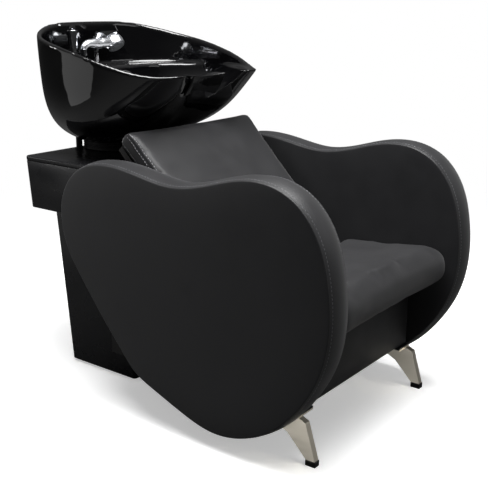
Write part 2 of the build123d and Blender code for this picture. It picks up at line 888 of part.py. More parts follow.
def support_plate():
    half = support_plate_width / 2
    top = shelf_top_z - lid_thickness
    low = top - support_plate_thickness
    plate = box_between(-half, half, support_plate_front_y, support_plate_front_y + support_plate_depth,
                        low, top)
    plate -= upright(0, drain_y, low - overrun, top + overrun, waste_r + hose_hole_gap)
    for x, y in yoke_bolt_places():
        plate -= upright(x, y, low - overrun, top + overrun, yoke_bolt_r + fit_gap)
    return plate


def yoke_bolt_places():
    x = yoke_half_width - yoke_bolt_inset
    y = yoke_plate_half_depth - yoke_bolt_inset
    return [(sx * x, hinge_y + sy * y) for sx in (-1, 1) for sy in (-1, 1)]


def yoke_bolts():
    top = shelf_top_z - lid_thickness + yoke_plate_thickness
    low = shelf_top_z - lid_thickness - support_plate_thickness
    bolts = []
    for x, y in yoke_bolt_places():
        shank = upright(x, y, low, top, yoke_bolt_r)
        head = upright(x, y, top, top + yoke_bolt_head, yoke_bolt_head_r)
        nut = upright(x, y, low - yoke_bolt_head, low, yoke_bolt_head_r)
        bolts.append(shank + head + nut)
    return Compound(children=bolts)


# Tilt hinge

def ear(x0, x1, foot_z, radius):
    """An upright or hanging ear whose end is round about the hinge pin."""
    low, high = sorted((foot_z, hinge_z))
    web = box_between(x0, x1, hinge_y - radius, hinge_y + radius, low, high)
    web += crossways(x0, x1, hinge_y, hinge_z, radius)
    return web


def tilt_yoke():
    z0 = shelf_top_z - lid_thickness
    z1 = z0 + yoke_plate_thickness
    plate = box_between(-yoke_half_width, yoke_half_width, hinge_y - yoke_plate_half_depth,
                        hinge_y + yoke_plate_half_depth, z0, z1)
    for x, y in yoke_bolt_places():
        plate -= upright(x, y, z0 - overrun, z1 + overrun, yoke_bolt_r + fit_gap)
    for x0 in (-yoke_ear_x, yoke_ear_x - yoke_ear_thickness):
        plate += ear(x0, x0 + yoke_ear_thickness, z1, yoke_ear_r)
    return plate - crossways(-yoke_half_width, yoke_half_width, hinge_y, hinge_z, pin_r + fit_gap)


def cradle_ear_x():
    return yoke_ear_x - yoke_ear_thickness - ear_side_gap - cradle_ear_thickness


def hollow_top_z():
    return bowl_foot_z + foot_hollow_height


def tilt_cradle():
    top = hollow_top_z()
    low = top - cradle_plate_thickness
    plate = box_between(-cradle_plate_half_width, cradle_plate_half_width, cradle_plate_front_y,
                        cradle_plate_front_y + cradle_plate_depth, low, top)
    plate -= upright(0, drain_y, low - overrun, top + overrun, waste_coupling_r + hose_hole_gap)
    for x0 in (-cradle_ear_x() - cradle_ear_thickness, cradle_ear_x()):
        plate += ear(x0, x0 + cradle_ear_thickness, low, cradle_ear_r)
    return plate - crossways(-yoke_half_width, yoke_half_width, hinge_y, hinge_z, pin_r)


def tilt_pin():
    return crossways(-pin_half_length, pin_half_length, hinge_y, hinge_z, pin_r)


def pin_rings():
    rings = []
    for side in (-1, 1):
        near = side * (yoke_ear_x + ear_side_gap)
        far = side * (yoke_ear_x + ear_side_gap + pin_ring_thickness)
        low, high = sorted((near, far))
        rings.append(crossways(low, high, hinge_y, hinge_z, pin_ring_r)
                     - crossways(low - overrun, high + overrun, hinge_y, hinge_z, pin_r))
    return Compound(children=rings)


def tilt_bellows():
    """Ribbed rubber sleeve from the shelf to the bowl's foot."""
    low = shelf_top_z
    height = bowl_foot_z - low
    pitch = height / bellows_ribs
    rib_shares = (0.0, 0.25, 0.6, 0.85)
    radii = (bellows_r - bellows_groove, bellows_r, bellows_r, bellows_r - bellows_groove)
    body = None
    for rib in range(bellows_ribs):
        rings = []
        for share, radius in zip(rib_shares, radii):
            rings.append(Plane.XY.offset(low + (rib + share) * pitch) * Pos(0, hinge_y) * Circle(radius))
        neck = Plane.XY.offset(low + (rib + 1) * pitch) * Pos(0, hinge_y) * Circle(bellows_r - bellows_groove)
        piece = loft(rings, ruled=True) + loft([rings[-1], neck], ruled=True)
        body = piece if body is None else body + piece
    return body - upright(0, hinge_y, low - overrun, bowl_foot_z + overrun, bellows_bore)


# Bowl

def bowl_rear_y():
    return rear_y


def plan_face(z, half_points):
    """A closed outline in plan from half of its points, mirrored to the other side."""
    left = [(-x, y) for x, y in half_points[-2:0:-1]]
    return Plane.XY.offset(z) * make_face(Spline(*half_points, *left, periodic=True))


def bowl_body(grow):
    """The bowl's outside from its foot to above the rim, grown outwards or inwards."""
    faces = []
    centre = bowl_rear_y() - bowl_centre_share * bowl_length
    for level, outline in zip(bowl_level_shares, bowl_outline_shares):
        stretch_x = 1 + grow / bowl_half_width
        stretch_y = 1 + 2 * grow / bowl_length
        points = []
        for x, y in outline:
            place = bowl_rear_y() - y * bowl_length
            points.append((x * bowl_half_width * stretch_x, centre + (place - centre) * stretch_y))
        faces.append(plan_face(bowl_foot_z + level * bowl_height, points))
    return loft(faces)


def above_rim():
    """Everything above the rim line, which is cut away."""
    line = [(bowl_rear_y() - y * bowl_length, bowl_foot_z + z * bowl_height) for y, z in rim_line_shares]
    front, rear = line[0], line[-1]
    top = bowl_foot_z + bowl_height + overrun
    lead = (front[0] - 2 * overrun, front[1])
    tail = (rear[0] + overrun, rear[1])
    edges = [Spline(*line), Polyline(rear, tail, (tail[0], top), (lead[0], top), lead, front)]
    face = Plane.YZ.offset(-overall_width / 2) * make_face(edges)
    return extrude(face, amount=overall_width)


def neck_scoop(lift):
    front = bowl_rear_y() - bowl_length - overrun
    return lengthways(0, front, front + neck_scoop_depth, neck_scoop_z + neck_scoop_r + lift,
                      neck_scoop_r)


def basin_hollow():
    """The washing hollow, from its flat floor up, in front of the deck."""
    rear = deck_front_y
    front_limit = bowl_rear_y() - bowl_length
    span = rear - front_limit
    faces = []
    for level, half, front, notch in zip(basin_level_shares, basin_half_width_shares,
                                         basin_tip_shares, basin_notch_shares):
        z = basin_floor_z + level * (deck_z - basin_floor_z)
        x = half * bowl_half_width
        tip = rear - front * span
        middle = rear - notch * span
        depth = rear - middle
        points = [(x * across, rear - along * depth)
                  for across, along in zip(basin_across_shares, basin_along_shares)]
        points[1] = (points[1][0], tip)
        faces.append(plan_face(z, points))
    return loft(faces)


def rear_duct():
    """The hollow behind the basin, under the deck, where the hoses run."""
    front = deck_front_y + duct_front_gap
    outline = [(-duct_half_width, front), (duct_half_width, front), (duct_half_width, duct_corner_y),
               (duct_corner_x, duct_rear_y), (-duct_corner_x, duct_rear_y), (-duct_half_width, duct_corner_y)]
    low = hollow_top_z() - duct_overlap
    face = Plane.XY.offset(low) * make_face(Polyline(*outline, close=True))
    return extrude(face, amount=deck_z - bowl_wall - low)


def deck_holes():
    low = deck_z - bowl_wall - overrun
    high = deck_z + overrun
    return [upright(mixer_x, mixer_y, low, high, mixer_shank_r + fit_gap),
            upright(handset_end_x, handset_y, low, high, guide_shank_r + fit_gap)]


def basin_bowl():
    bowl = bowl_body(0)
    upper = bowl_body(-bowl_wall)
    upper -= Pos(0, 0, (bowl_foot_z + deck_z) / 2) * Box(overall_width, overall_depth, deck_z - bowl_foot_z)
    bowl = bowl - above_rim() - neck_scoop(0) - upper - basin_hollow() - rear_duct()
    hollow = bowl_body(-bowl_wall)
    room = bowl_foot_z + bowl_height + overrun - hollow_top_z()
    hollow -= Pos(0, 0, hollow_top_z() + room / 2) * Box(overall_width, overall_depth, room)
    bowl -= hollow
    bowl -= upright(0, drain_y, hollow_top_z() - overrun, basin_floor_z + overrun, drain_tube_r + fit_gap)
    for hole in deck_holes():
        bowl -= hole
    for x, y in hose_places():
        bowl -= upright(x, y, bowl_foot_z - overrun, hollow_top_z() + overrun, supply_hose_r + hose_hole_gap)
    return bowl


def neck_rest():
    """A soft saddle over the front edge of the bowl: outside, over the edge and a short lip inside."""
    front = bowl_rear_y() - bowl_length - overrun
    x = neck_rest_half_width
    lip_y = bowl_rear_y() - bowl_outline_shares[-1][0][1] * bowl_length + neck_rest_lip_depth
    block = box_between(-x, x, front, lip_y + overrun, neck_rest_bottom_z, deck_z + overrun)
    block = fillet(block.edges().filter_by(Axis.Y), neck_rest_round)
    block &= box_between(-x, x, front, lip_y, neck_rest_bottom_z, deck_z + overrun)
    wall = bowl_body(0) - neck_scoop(0) - basin_hollow()
    return (bowl_body(neck_rest_thickness) - neck_scoop(neck_rest_cap) - wall) & block


# Drain and waste

def drain_flange():
    top = basin_floor_z + drain_flange_thickness
    flange = upright(0, drain_y, basin_floor_z, top, drain_flange_r)
    flange += upright(0, drain_y, drain_tube_bottom_z, basin_floor_z, drain_tube_r)
    flange -= upright(0, drain_y, drain_ledge_z, top + overrun, drain_tube_bore)
    return flange - upright(0, drain_y, drain_tube_bottom_z - overrun, drain_ledge_z, drain_ledge_bore)


def drain_strainer():
    top = drain_ledge_z + strainer_thickness
    disc = upright(0, drain_y, drain_ledge_z, top, strainer_r)
    for hole in range(strainer_holes):
        angle = 2 * math.pi * hole / strainer_holes
        disc -= upright(strainer_ring_r * math.cos(angle), drain_y + strainer_ring_r * math.sin(angle),
                        drain_ledge_z - overrun, top + overrun, strainer_hole_r)
    return disc + upright(0, drain_y, top, top + strainer_knob_height, strainer_knob_r)


def waste_coupling():
    top = hollow_top_z()
    low = top - waste_coupling_height
    ring = upright(0, drain_y, low, top, waste_coupling_r)
    ring -= upright(0, drain_y, drain_tube_bottom_z, top + overrun, drain_tube_r + fit_gap)
    return ring - upright(0, drain_y, low - overrun, drain_tube_bottom_z, waste_r + fit_gap)


def waste_hose():
    hose = upright(0, drain_y, waste_socket_z, drain_tube_bottom_z, waste_r)
    return hose - upright(0, drain_y, waste_socket_z - overrun, drain_tube_bottom_z + overrun, waste_bore)


def clip_groove(x, y, z, radius):
    """The groove of the clip that holds a spigot in the service panel."""
    groove = lengthways(x, y, y + clip_groove_width, z, radius + overrun)
    return groove - lengthways(x, y, y + clip_groove_width, z, radius - clip_groove_depth)


def waste_outlet():
    """Elbow from the waste hose to a spigot through the service panel."""
    groove_y = rear_line_y(waste_outlet_z) + clip_groove_reach
    end = groove_y + clip_groove_width + waste_spigot_length
    route = [(0, drain_y, waste_socket_z), (0, drain_y, waste_outlet_z), (0, end, waste_outlet_z)]
    elbow = tube(route, [waste_bend_r], waste_r, waste_bore)
    elbow -= clip_groove(0, groove_y, waste_outlet_z, waste_r)
    height = waste_coupling_height / 2
    sleeve = upright(0, drain_y, waste_socket_z - height, waste_socket_z + height, waste_coupling_r)
    sleeve -= upright(0, drain_y, waste_socket_z - height - overrun, waste_socket_z, waste_r)
    sleeve -= upright(0, drain_y, waste_socket_z, waste_socket_z + height + overrun, waste_r + fit_gap)
    return elbow + sleeve


# Mixer

def mixer_body():
    body = upright(mixer_x, mixer_y, deck_z, mixer_top_z, mixer_r)
    body += upright(mixer_x, mixer_y, deck_z, deck_z + mixer_flange_thickness, mixer_flange_r)
    body += upright(mixer_x, mixer_y, deck_z - mixer_shank_length, deck_z, mixer_shank_r)
    body += upright(mixer_x, mixer_y, deck_z - bowl_wall - mixer_nut_height, deck_z - bowl_wall, mixer_nut_r)
    return body + upright(mixer_x, mixer_y, mixer_top_z, mixer_top_z + spindle_height, spindle_r)


def cap_base_z():
    return mixer_top_z + fit_gap


def lever_pivot_z():
    return cap_base_z() + cap_height + lever_pivot_rise


def mixer_cap():
    low = cap_base_z()
    top = low + cap_height
    cap = upright(mixer_x, mixer_y, low, top, cap_r)
    cap = fillet(cap.faces().sort_by(Axis.Z)[-1].edges(), cap_edge_round)
    socket_top = mixer_top_z + spindle_height + fit_gap
    cap -= upright(mixer_x, mixer_y, low - overrun, socket_top, spindle_r + fit_gap)
    pivot = lever_pivot_z()
    half = lug_width / 2
    cap += box_between(mixer_x - lug_r, mixer_x + lug_r, mixer_y - half, mixer_y + half, top, pivot)
    cap += lengthways(mixer_x, mixer_y - half, mixer_y + half, pivot, lug_r)
    reach = half + fit_gap + lever_cheek
    return cap + lengthways(mixer_x, mixer_y - reach, mixer_y + reach, pivot, lever_pin_r)


def mixer_lever():
    pivot = lever_pivot_z()
    low = pivot + lug_r + skin_gap
    top = low + lever_thickness
    half = lever_width / 2
    plate = box_between(mixer_x - lever_left, mixer_x + lever_right, mixer_y - half, mixer_y + half, low, top)
    plate = fillet(plate.edges().filter_by(Axis.Z), lever_round)
    right = mixer_x + lever_right
    end = right + lever_tip - lever_thickness
    outline = Polyline((right - lever_round, top), (end, top - lever_tip_drop + lever_thickness),
                       (right + lever_tip, top - lever_tip_drop), (end, low - lever_tip_drop),
                       (right - lever_round, low), close=True)
    side = Plane.XZ.offset(-mixer_y - half + lever_round)
    plate += extrude(side * make_face(outline), amount=lever_width - 2 * lever_round)
    inner = lug_width / 2 + fit_gap
    for y0 in (mixer_y - inner - lever_cheek, mixer_y + inner):
        cheek = box_between(mixer_x - lug_r, mixer_x + lug_r, y0, y0 + lever_cheek, pivot, low)
        plate += cheek + lengthways(mixer_x, y0, y0 + lever_cheek, pivot, lug_r)
    return plate - lengthways(mixer_x, mixer_y - lever_width, mixer_y + lever_width, pivot,
                              lever_pin_r + fit_gap)


# Hand shower

def ring_at(x, z, direction, radius):
    return Plane(origin=(x, handset_y, z), z_dir=direction) * Circle(radius)


def head_plane():
    pitch = math.radians(head_pitch_deg)
    return Plane(origin=(head_x, handset_y, handset_z), x_dir=(1, 0, 0),
                 z_dir=(0, -math.cos(pitch), -math.sin(pitch)))


def handset_body():
    bend_x = handset_end_x + handle_end_r
    bend_z = handset_z - handle_end_r / 2
    rings = [ring_at(handset_end_x, handset_end_z, (0, 0, 1), handle_end_r),
             ring_at(bend_x, bend_z, (1, 0, 1), (handle_end_r + handle_start_r) / 2),
             ring_at(handle_start_x, handset_z, (1, 0, 0), handle_start_r),
             ring_at(handle_mid_x, handset_z, (1, 0, 0), handle_r)]
    body = loft(rings) + crossways(handle_mid_x, head_x, handset_y, handset_z, handle_r)
    body += Pos(head_x, handset_y, handset_z) * Sphere(head_r)
    front = head_plane()
    body -= front.offset(head_depth) * Pos(0, 0, head_r) * Cylinder(2 * head_r, 2 * head_r)
    body += front * Pos(0, 0, head_depth / 2) * Cylinder(head_r, head_depth)
    seat = Pos(0, 0, head_depth + face_rise - face_thickness / 2)
    return body - front * seat * Cylinder(face_r, face_thickness)


def handset_face():
    front = head_plane().offset(head_depth + face_rise)
    disc = front * Pos(0, 0, -face_thickness / 2) * Cylinder(face_r, face_thickness)
    for count, radius in nozzle_rings:
        for nozzle in range(count):
            angle = 2 * math.pi * nozzle / count
            spot = Pos(radius * math.cos(angle), radius * math.sin(angle), nozzle_height / 2)
            disc += front * spot * Cylinder(nozzle_r, nozzle_height)
    return disc


def handset_nut():
    return upright(handset_end_x, handset_y, handset_end_z - nut_height, handset_end_z, nut_r)


def shower_hose():
    return upright(handset_end_x, handset_y, loop_top_z(), handset_end_z - nut_height, hose_r)


def loop_top_z():
    return deck_z - mixer_shank_length


def hose_guide():
    guide = upright(handset_end_x, handset_y, deck_z, deck_z + guide_height, guide_r)
    guide += upright(handset_end_x, handset_y, loop_top_z(), deck_z, guide_shank_r)
    low = deck_z - bowl_wall
    guide += upright(handset_end_x, handset_y, low - guide_nut_height, low, guide_nut_r)
    return guide - upright(handset_end_x, handset_y, loop_top_z() - overrun, deck_z + overrun,
                           hose_r + guide_gap)


def handset_holder():
    """Chrome post behind the hand shower with a hook under its handle and a bent plate behind its head."""
    post = upright(holder_x, holder_y, deck_z, holder_top_z, holder_post_r)
    post += upright(holder_x, holder_y, deck_z, deck_z + holder_flange_thickness, holder_flange_r)
    inner = handle_r + soft_gap
    outer = inner + holder_cradle_wall
    start, end = holder_cradle_from_deg, holder_cradle_to_deg
    arcs = []
    for radius in (inner, outer):
        turns = [math.radians(a) for a in (start, (start + end) / 2, end)]
        arcs.append([(handset_y + radius * math.cos(a), handset_z + radius * math.sin(a)) for a in turns])
    edges = [ThreePointArc(*arcs[0]), Line(arcs[0][2], arcs[1][2]), ThreePointArc(*arcs[1]),
             Line(arcs[1][0], arcs[0][0])]
    x0 = holder_x - holder_width / 2
    hook = extrude(Plane.YZ.offset(x0) * make_face(edges), amount=holder_width)
    stem_y = handset_y + inner
    stem = box_between(x0, x0 + holder_width, stem_y, holder_y, handset_z - holder_post_r, handset_z)
    plate_rear = holder_plate_y + holder_plate_thickness
    top = holder_top_z + holder_plate_thickness
    plate = box_between(holder_x, holder_plate_right_x, holder_plate_y, plate_rear, holder_plate_bottom_z,
                        holder_top_z)
    plate += box_between(holder_x, holder_plate_right_x, plate_rear - holder_top_depth, plate_rear,
                         holder_top_z, top)
    fin = side_plate([(plate_rear, holder_plate_bottom_z), (plate_rear, top),
                      (plate_rear - holder_plate_thickness, top + holder_fin_height),
                      (plate_rear - holder_fin_depth / 2, top)],
                     holder_plate_right_x - holder_plate_thickness, holder_plate_right_x)
    return post + hook + stem + plate + fin


# Hoses

def tail(angle_deg):
    """Where one hose leaves the underside of the mixer: X and Y."""
    angle = math.radians(angle_deg)
    return (mixer_x + tail_circle_r * math.cos(angle), mixer_y + tail_circle_r * math.sin(angle))


def supply_hose(angle_deg, entry, valve_x, waypoint):
    x, y = tail(angle_deg)
    ex, ey = entry
    route = [(x, y, loop_top_z()), (x, y, tail_run_z), waypoint, (ex, ey, hollow_top_z()),
             (ex, ey, hose_turn_z), *column_run(ex, ey, valve_x),
             (valve_x, inlet_inner_y, inlet_socket_z)]
    return tube(route, arc_radii(route), supply_hose_r)


def column_run(ex, ey, valve_x):
    """Points that bring a hose forward from the shelf's rear wall and down the column."""
    run = []
    for z, share in column_run_places:
        run.append((ex + (valve_x - ex) * share, ey + (inlet_inner_y - ey) * share, z))
    return run


def hot_hose():
    return supply_hose(hot_tail_deg, (hot_entry_x, hot_entry_y), hot_x, hot_waypoint)


def cold_hose():
    return supply_hose(cold_tail_deg, (cold_entry_x, cold_entry_y), cold_x, cold_waypoint)


def hose_grommets():
    rings = []
    for x, y in hose_places():
        ring = upright(x, y, shelf_top_z, shelf_top_z + grommet_height, grommet_r)
        ring += upright(x, y, shelf_top_z - lid_thickness, shelf_top_z, supply_hose_r + hose_hole_gap)
        rings.append(ring - upright(x, y, shelf_top_z - lid_thickness - overrun, shelf_top_z + overrun,
                                    supply_hose_r + fit_gap))
    return Compound(children=rings)


def hose_loop():
    """The hidden length of the shower hose: from its guide down into the column and up to the mixer."""
    x, y = tail(outlet_tail_deg)
    hidden = [(across, rear_y - forward, level) for across, forward, level in loop_route]
    route = [(handset_end_x, handset_y, loop_top_z()), (handset_end_x, handset_y, loop_start_z),
             *hidden, (x, y, loop_end_z), (x, y, loop_top_z())]
    return tube(route, arc_radii(route), hose_r)


def stop_valves():
    """Angle valves whose nipples pass through the service panel."""
    valves = []
    for x in (hot_x, cold_x):
        groove_y = rear_line_y(inlet_z) + clip_groove_reach
        end = groove_y + clip_groove_width + inlet_nipple_length
        valve = upright(x, inlet_inner_y, inlet_z - valve_body_below, inlet_socket_z, inlet_body_r)
        valve += lengthways(x, inlet_inner_y, end, inlet_z, inlet_r)
        valve -= clip_groove(x, groove_y, inlet_z, inlet_r)
        front = inlet_inner_y - inlet_body_r - valve_knob_length
        valve += lengthways(x, front, inlet_inner_y, inlet_z, valve_knob_r)
        valves.append(valve - lengthways(x, inlet_inner_y, end + overrun, inlet_z, inlet_bore))
    return Compound(children=valves)


def pair(shape):
    """The same piece on both sides, as separate solids."""
    return Compound(children=[shape, mirror(shape, about=Plane.YZ)])


def all_parts():
    leg = front_leg()
    screws = leg_screws()
    parts = dict(arm_parts())
    parts.update({
        "arm_bolts": arm_bolts(),
        "base_frame": base_frame(),
        "front_apron": front_apron(),
        "underside_cover": underside_cover(),
        "seat_deck": seat_deck(),
        "seat_cushion": seat_cushion(),
        "back_cushion": back_cushion(),
        "back_board": back_board(),
        "back_brackets": back_brackets(),
        "front_leg_right": leg,
        "front_leg_left": mirror(leg, about=Plane.YZ),
        "leg_spacers": pair(leg_spacer()),
        "leg_glides": pair(leg_glide()),
        "leg_screws": Compound(children=screws + [mirror(screw, about=Plane.YZ) for screw in screws]),
        "shelf_box": shelf_box(),
        "shelf_top": shelf_top(),
        "column_shell": column_shell(),
        "service_panel": service_panel(),
        "service_screws": service_screws(),
        "column_glides": column_glides(),
        "glide_blocks": glide_blocks(),
        "floor_plate": floor_plate(),
        "steel_post": steel_post(),
        "support_plate": support_plate(),
        "yoke_bolts": yoke_bolts(),
        "tilt_yoke": tilt_yoke(),
        "tilt_cradle": tilt_cradle(),
        "tilt_pin": tilt_pin(),
        "pin_rings": pin_rings(),
        "tilt_bellows": tilt_bellows(),
        "basin_bowl": basin_bowl(),
        "neck_rest": neck_rest(),
        "drain_flange": drain_flange(),
        "drain_strainer": drain_strainer(),
        "waste_coupling": waste_coupling(),
        "waste_hose": waste_hose(),
        "waste_outlet": waste_outlet(),
        "mixer_body": mixer_body(),
        "mixer_cap": mixer_cap(),
        "mixer_lever": mixer_lever(),
        "handset_body": handset_body(),
        "handset_face": handset_face(),
        "handset_nut": handset_nut(),
        "shower_hose": shower_hose(),
        "hose_loop": hose_loop(),
        "hose_guide": hose_guide(),
        "handset_holder": handset_holder(),
        "hot_hose": hot_hose(),
        "cold_hose": cold_hose(),
        "hose_grommets": hose_grommets(),
        "stop_valves": stop_valves(),
    })
    return parts


os.makedirs("parts", exist_ok=True)
for name, shape in all_parts().items():
    export_step(shape, os.path.join("parts", name + ".step"))
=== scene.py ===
import json
import math

import bmesh
import bpy
import numpy as np
from mathutils import Matrix, Vector, noise
from mathutils.bvhtree import BVHTree
from mathutils.kdtree import KDTree


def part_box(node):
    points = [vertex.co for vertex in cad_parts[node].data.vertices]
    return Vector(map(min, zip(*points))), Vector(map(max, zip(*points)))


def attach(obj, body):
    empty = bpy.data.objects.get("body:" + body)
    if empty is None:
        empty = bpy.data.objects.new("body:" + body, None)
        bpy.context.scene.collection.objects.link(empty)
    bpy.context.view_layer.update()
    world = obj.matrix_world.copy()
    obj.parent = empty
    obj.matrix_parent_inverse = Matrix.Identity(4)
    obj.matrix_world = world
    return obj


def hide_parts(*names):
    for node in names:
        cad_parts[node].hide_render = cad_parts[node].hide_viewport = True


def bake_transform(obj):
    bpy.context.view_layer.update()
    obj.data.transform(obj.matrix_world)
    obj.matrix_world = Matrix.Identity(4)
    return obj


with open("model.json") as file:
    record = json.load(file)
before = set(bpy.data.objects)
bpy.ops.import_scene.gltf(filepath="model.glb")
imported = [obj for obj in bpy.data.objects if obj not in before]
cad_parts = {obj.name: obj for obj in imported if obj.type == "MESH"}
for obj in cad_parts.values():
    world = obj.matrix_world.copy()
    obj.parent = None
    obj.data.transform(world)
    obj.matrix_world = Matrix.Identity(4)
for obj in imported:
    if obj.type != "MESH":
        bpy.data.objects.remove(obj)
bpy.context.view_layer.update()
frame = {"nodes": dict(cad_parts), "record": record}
nodes = frame["nodes"]
mm = 0.001
weld = 0.01 * mm
scene = bpy.context.scene
scene.view_settings.view_transform = "Standard"


# Helpers

def hexColour(text):
    # sRGB hex, as a colour picker gives it, to the linear values that the shaders take
    shades = [int(text[i:i + 2], 16) / 255 for i in (1, 3, 5)]
    return tuple(s / 12.92 if s <= 0.04045 else ((s + 0.055) / 1.055) ** 2.4 for s in shades) + (1.0,)


def addNode(tree, kind, values=None, links=None, **settings):
    node = tree.nodes.new(kind)
    for name, value in settings.items():
        setattr(node, name, value)
    for name, value in (values or {}).items():
        node.inputs[name].default_value = value
    for name, source in (links or {}).items():
        tree.links.new(source, node.inputs[name])
    return node


def addGloss(tree, shader, source, rough):
    # roughness between two values, as a noise goes
    gloss = addNode(tree, "ShaderNodeMapRange",
                    {"From Min": 0.35, "From Max": 0.65, "To Min": rough[0], "To Max": rough[1]}, {"Value": source})
    tree.links.new(gloss.outputs[0], shader.inputs["Roughness"])


def addBump(tree, shader, source, strength, depth):
    bump = addNode(tree, "ShaderNodeBump", {"Strength": strength, "Distance": depth}, {"Height": source})
    tree.links.new(bump.outputs[0], shader.inputs["Normal"])


def addTwoTone(tree, shader, source, dark, light):
    colour = addNode(tree, "ShaderNodeMix", {6: hexColour(dark), 7: hexColour(light)}, {0: source}, data_type="RGBA")
    tree.links.new(colour.outputs[2], shader.inputs["Base Color"])


def startMaterial(name, values):
    material = bpy.data.materials.new(name)
    material.use_nodes = True
    tree = material.node_tree
    tree.nodes.clear()
    shader = addNode(tree, "ShaderNodeBsdfPrincipled", values)
    addNode(tree, "ShaderNodeOutputMaterial", links={"Surface": shader.outputs[0]})
    place = addNode(tree, "ShaderNodeTexCoord").outputs["Object"]
    return material, tree, shader, place


def pieceFrom(name, bm):
    bmesh.ops.remove_doubles(bm, verts=bm.verts, dist=weld)
    bmesh.ops.recalc_face_normals(bm, faces=bm.faces)
    mesh = bpy.data.meshes.new(name)
    bm.to_mesh(mesh)
    bm.free()
    piece = bpy.data.objects.new(name, mesh)
    scene.collection.objects.link(piece)
    return piece


def dress(piece, material, body, slot, *replaced):
    piece.data.materials.clear()
    piece.data.materials.append(material)
    for polygon in piece.data.polygons:
        polygon.use_smooth = True
    if body:
        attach(piece, body)
    if replaced:
        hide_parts(*replaced)
    return piece


def applyModifiers(piece):
    shaped = bpy.data.meshes.new_from_object(piece.evaluated_get(bpy.context.evaluated_depsgraph_get()))
    piece.modifiers.clear()
    piece.data = shaped


def evenOut(piece, times):
    even = piece.modifiers.new("even", "SMOOTH")
    even.iterations = times
    applyModifiers(piece)


def copyNode(node, name):
    bm = bmesh.new()
    bm.from_mesh(nodes[node].data)
    return pieceFrom(name, bm)


def pointsOf(piece):
    places = np.zeros(len(piece.data.vertices) * 3)
    piece.data.vertices.foreach_get("co", places)
    return places.reshape(-1, 3)


def normalsOf(piece):
    normals = np.zeros(len(piece.data.vertices) * 3)
    piece.data.vertices.foreach_get("normal", normals)
    return normals.reshape(-1, 3)


def movePoints(piece, places):
    piece.data.vertices.foreach_set("co", places.ravel())
    piece.data.update()


def nearnessTree(points):
    tree = KDTree(len(points))
    for i, point in enumerate(points):
        tree.insert(point, i)
    tree.balance()
    return tree


def lengthAlong(points):
    return np.concatenate([[0], np.cumsum(np.linalg.norm(np.diff(points, axis=0), axis=1))])


def readAlong(points, along, places):
    return np.stack([np.interp(places, along, points[:, k]) for k in range(points.shape[1])], axis=-1)


def closedCurve(points, count):
    # a closed cubic through a few points, read off at equal steps along its length
    points = np.array(points, float)
    n = len(points)
    steps = np.linalg.norm(np.roll(points, -1, 0) - points, axis=1)
    slopes = (np.roll(points, -1, 0) - points) / steps[:, None]
    rows = np.zeros((n, n))
    for i in range(n):
        rows[i, i - 1] = steps[i - 1]
        rows[i, i] = 2 * (steps[i - 1] + steps[i])
        rows[i, (i + 1) % n] = steps[i]
    bend = np.linalg.solve(rows, 6 * (slopes - np.roll(slopes, 1, 0)))
    t = np.linspace(0, 1, 40, endpoint=False)[None, :, None]
    h = steps[:, None, None]
    here, there = points[:, None], np.roll(points, -1, 0)[:, None]
    bendHere, bendThere = bend[:, None], np.roll(bend, -1, 0)[:, None]
    dense = (here * (1 - t) + there * t
             + h**2 / 6 * (((1 - t)**3 - (1 - t)) * bendHere + (t**3 - t) * bendThere)).reshape(-1, points.shape[1])
    loop = np.vstack([dense, dense[:1]])
    along = lengthAlong(loop)
    return readAlong(loop, along, np.linspace(0, along[-1], count, endpoint=False))


def outwards(loop):
    # unit normals of a flat closed loop, pointing away from its middle
    along = np.roll(loop, -1, 0) - np.roll(loop, 1, 0)
    normals = np.stack([along[:, 1], -along[:, 0]], axis=1)
    normals /= np.linalg.norm(normals, axis=1)[:, None]
    facing = ((loop - loop.mean(0)) * normals).sum()
    return normals if facing > 0 else -normals


def extrudeRings(name, rings):
    # one closed loop after another, each pulled out of the last; a ring of one point closes the shape
    bm = bmesh.new()
    order = bm.verts.layers.int.new("order")
    for i, vertex in enumerate(bmesh.ops.create_circle(bm, segments=len(rings[0]), radius=1)["verts"]):
        vertex[order] = i
        vertex.co = rings[0][i]
    edges = bm.edges[:]
    for ring in rings[1:]:
        grown = bmesh.ops.extrude_edge_only(bm, edges=edges)["geom"]
        fresh = {g for g in grown if isinstance(g, bmesh.types.BMVert)}
        for vertex in fresh:
            vertex.co = ring[vertex[order]]
        edges = [g for g in grown if isinstance(g, bmesh.types.BMEdge) and set(g.verts) <= fresh]
    return pieceFrom(name, bm)


# Camera, floor and light

cameraLook = {"place": (-1.6769, -1.3039, 0.9677), "azimuth": -52.78, "down": 15.34, "roll": 0.304,
              "lens": 63.85, "sensor": 36.0, "shift": (0.0045, -0.0125)}


def makeCamera():
    data = bpy.data.cameras.new("camera")
    data.lens = cameraLook["lens"]
    data.sensor_width = cameraLook["sensor"]
    data.shift_x, data.shift_y = cameraLook["shift"]
    camera = bpy.data.objects.new("camera", data)
    turn = (Matrix.Rotation(math.radians(cameraLook["azimuth"]), 4, "Z")
            @ Matrix.Rotation(math.radians(90 - cameraLook["down"]), 4, "X")
            @ Matrix.Rotation(math.radians(cameraLook["roll"]), 4, "Z"))
    camera.matrix_world = Matrix.Translation(cameraLook["place"]) @ turn
    scene.collection.objects.link(camera)
    scene.camera = camera


floorLook = {"reach": 9.0, "paper": "#f2f2f2", "glow": 0.4, "bounce": "#585858", "nearEdge": 0.9, "farEdge": 2.6}


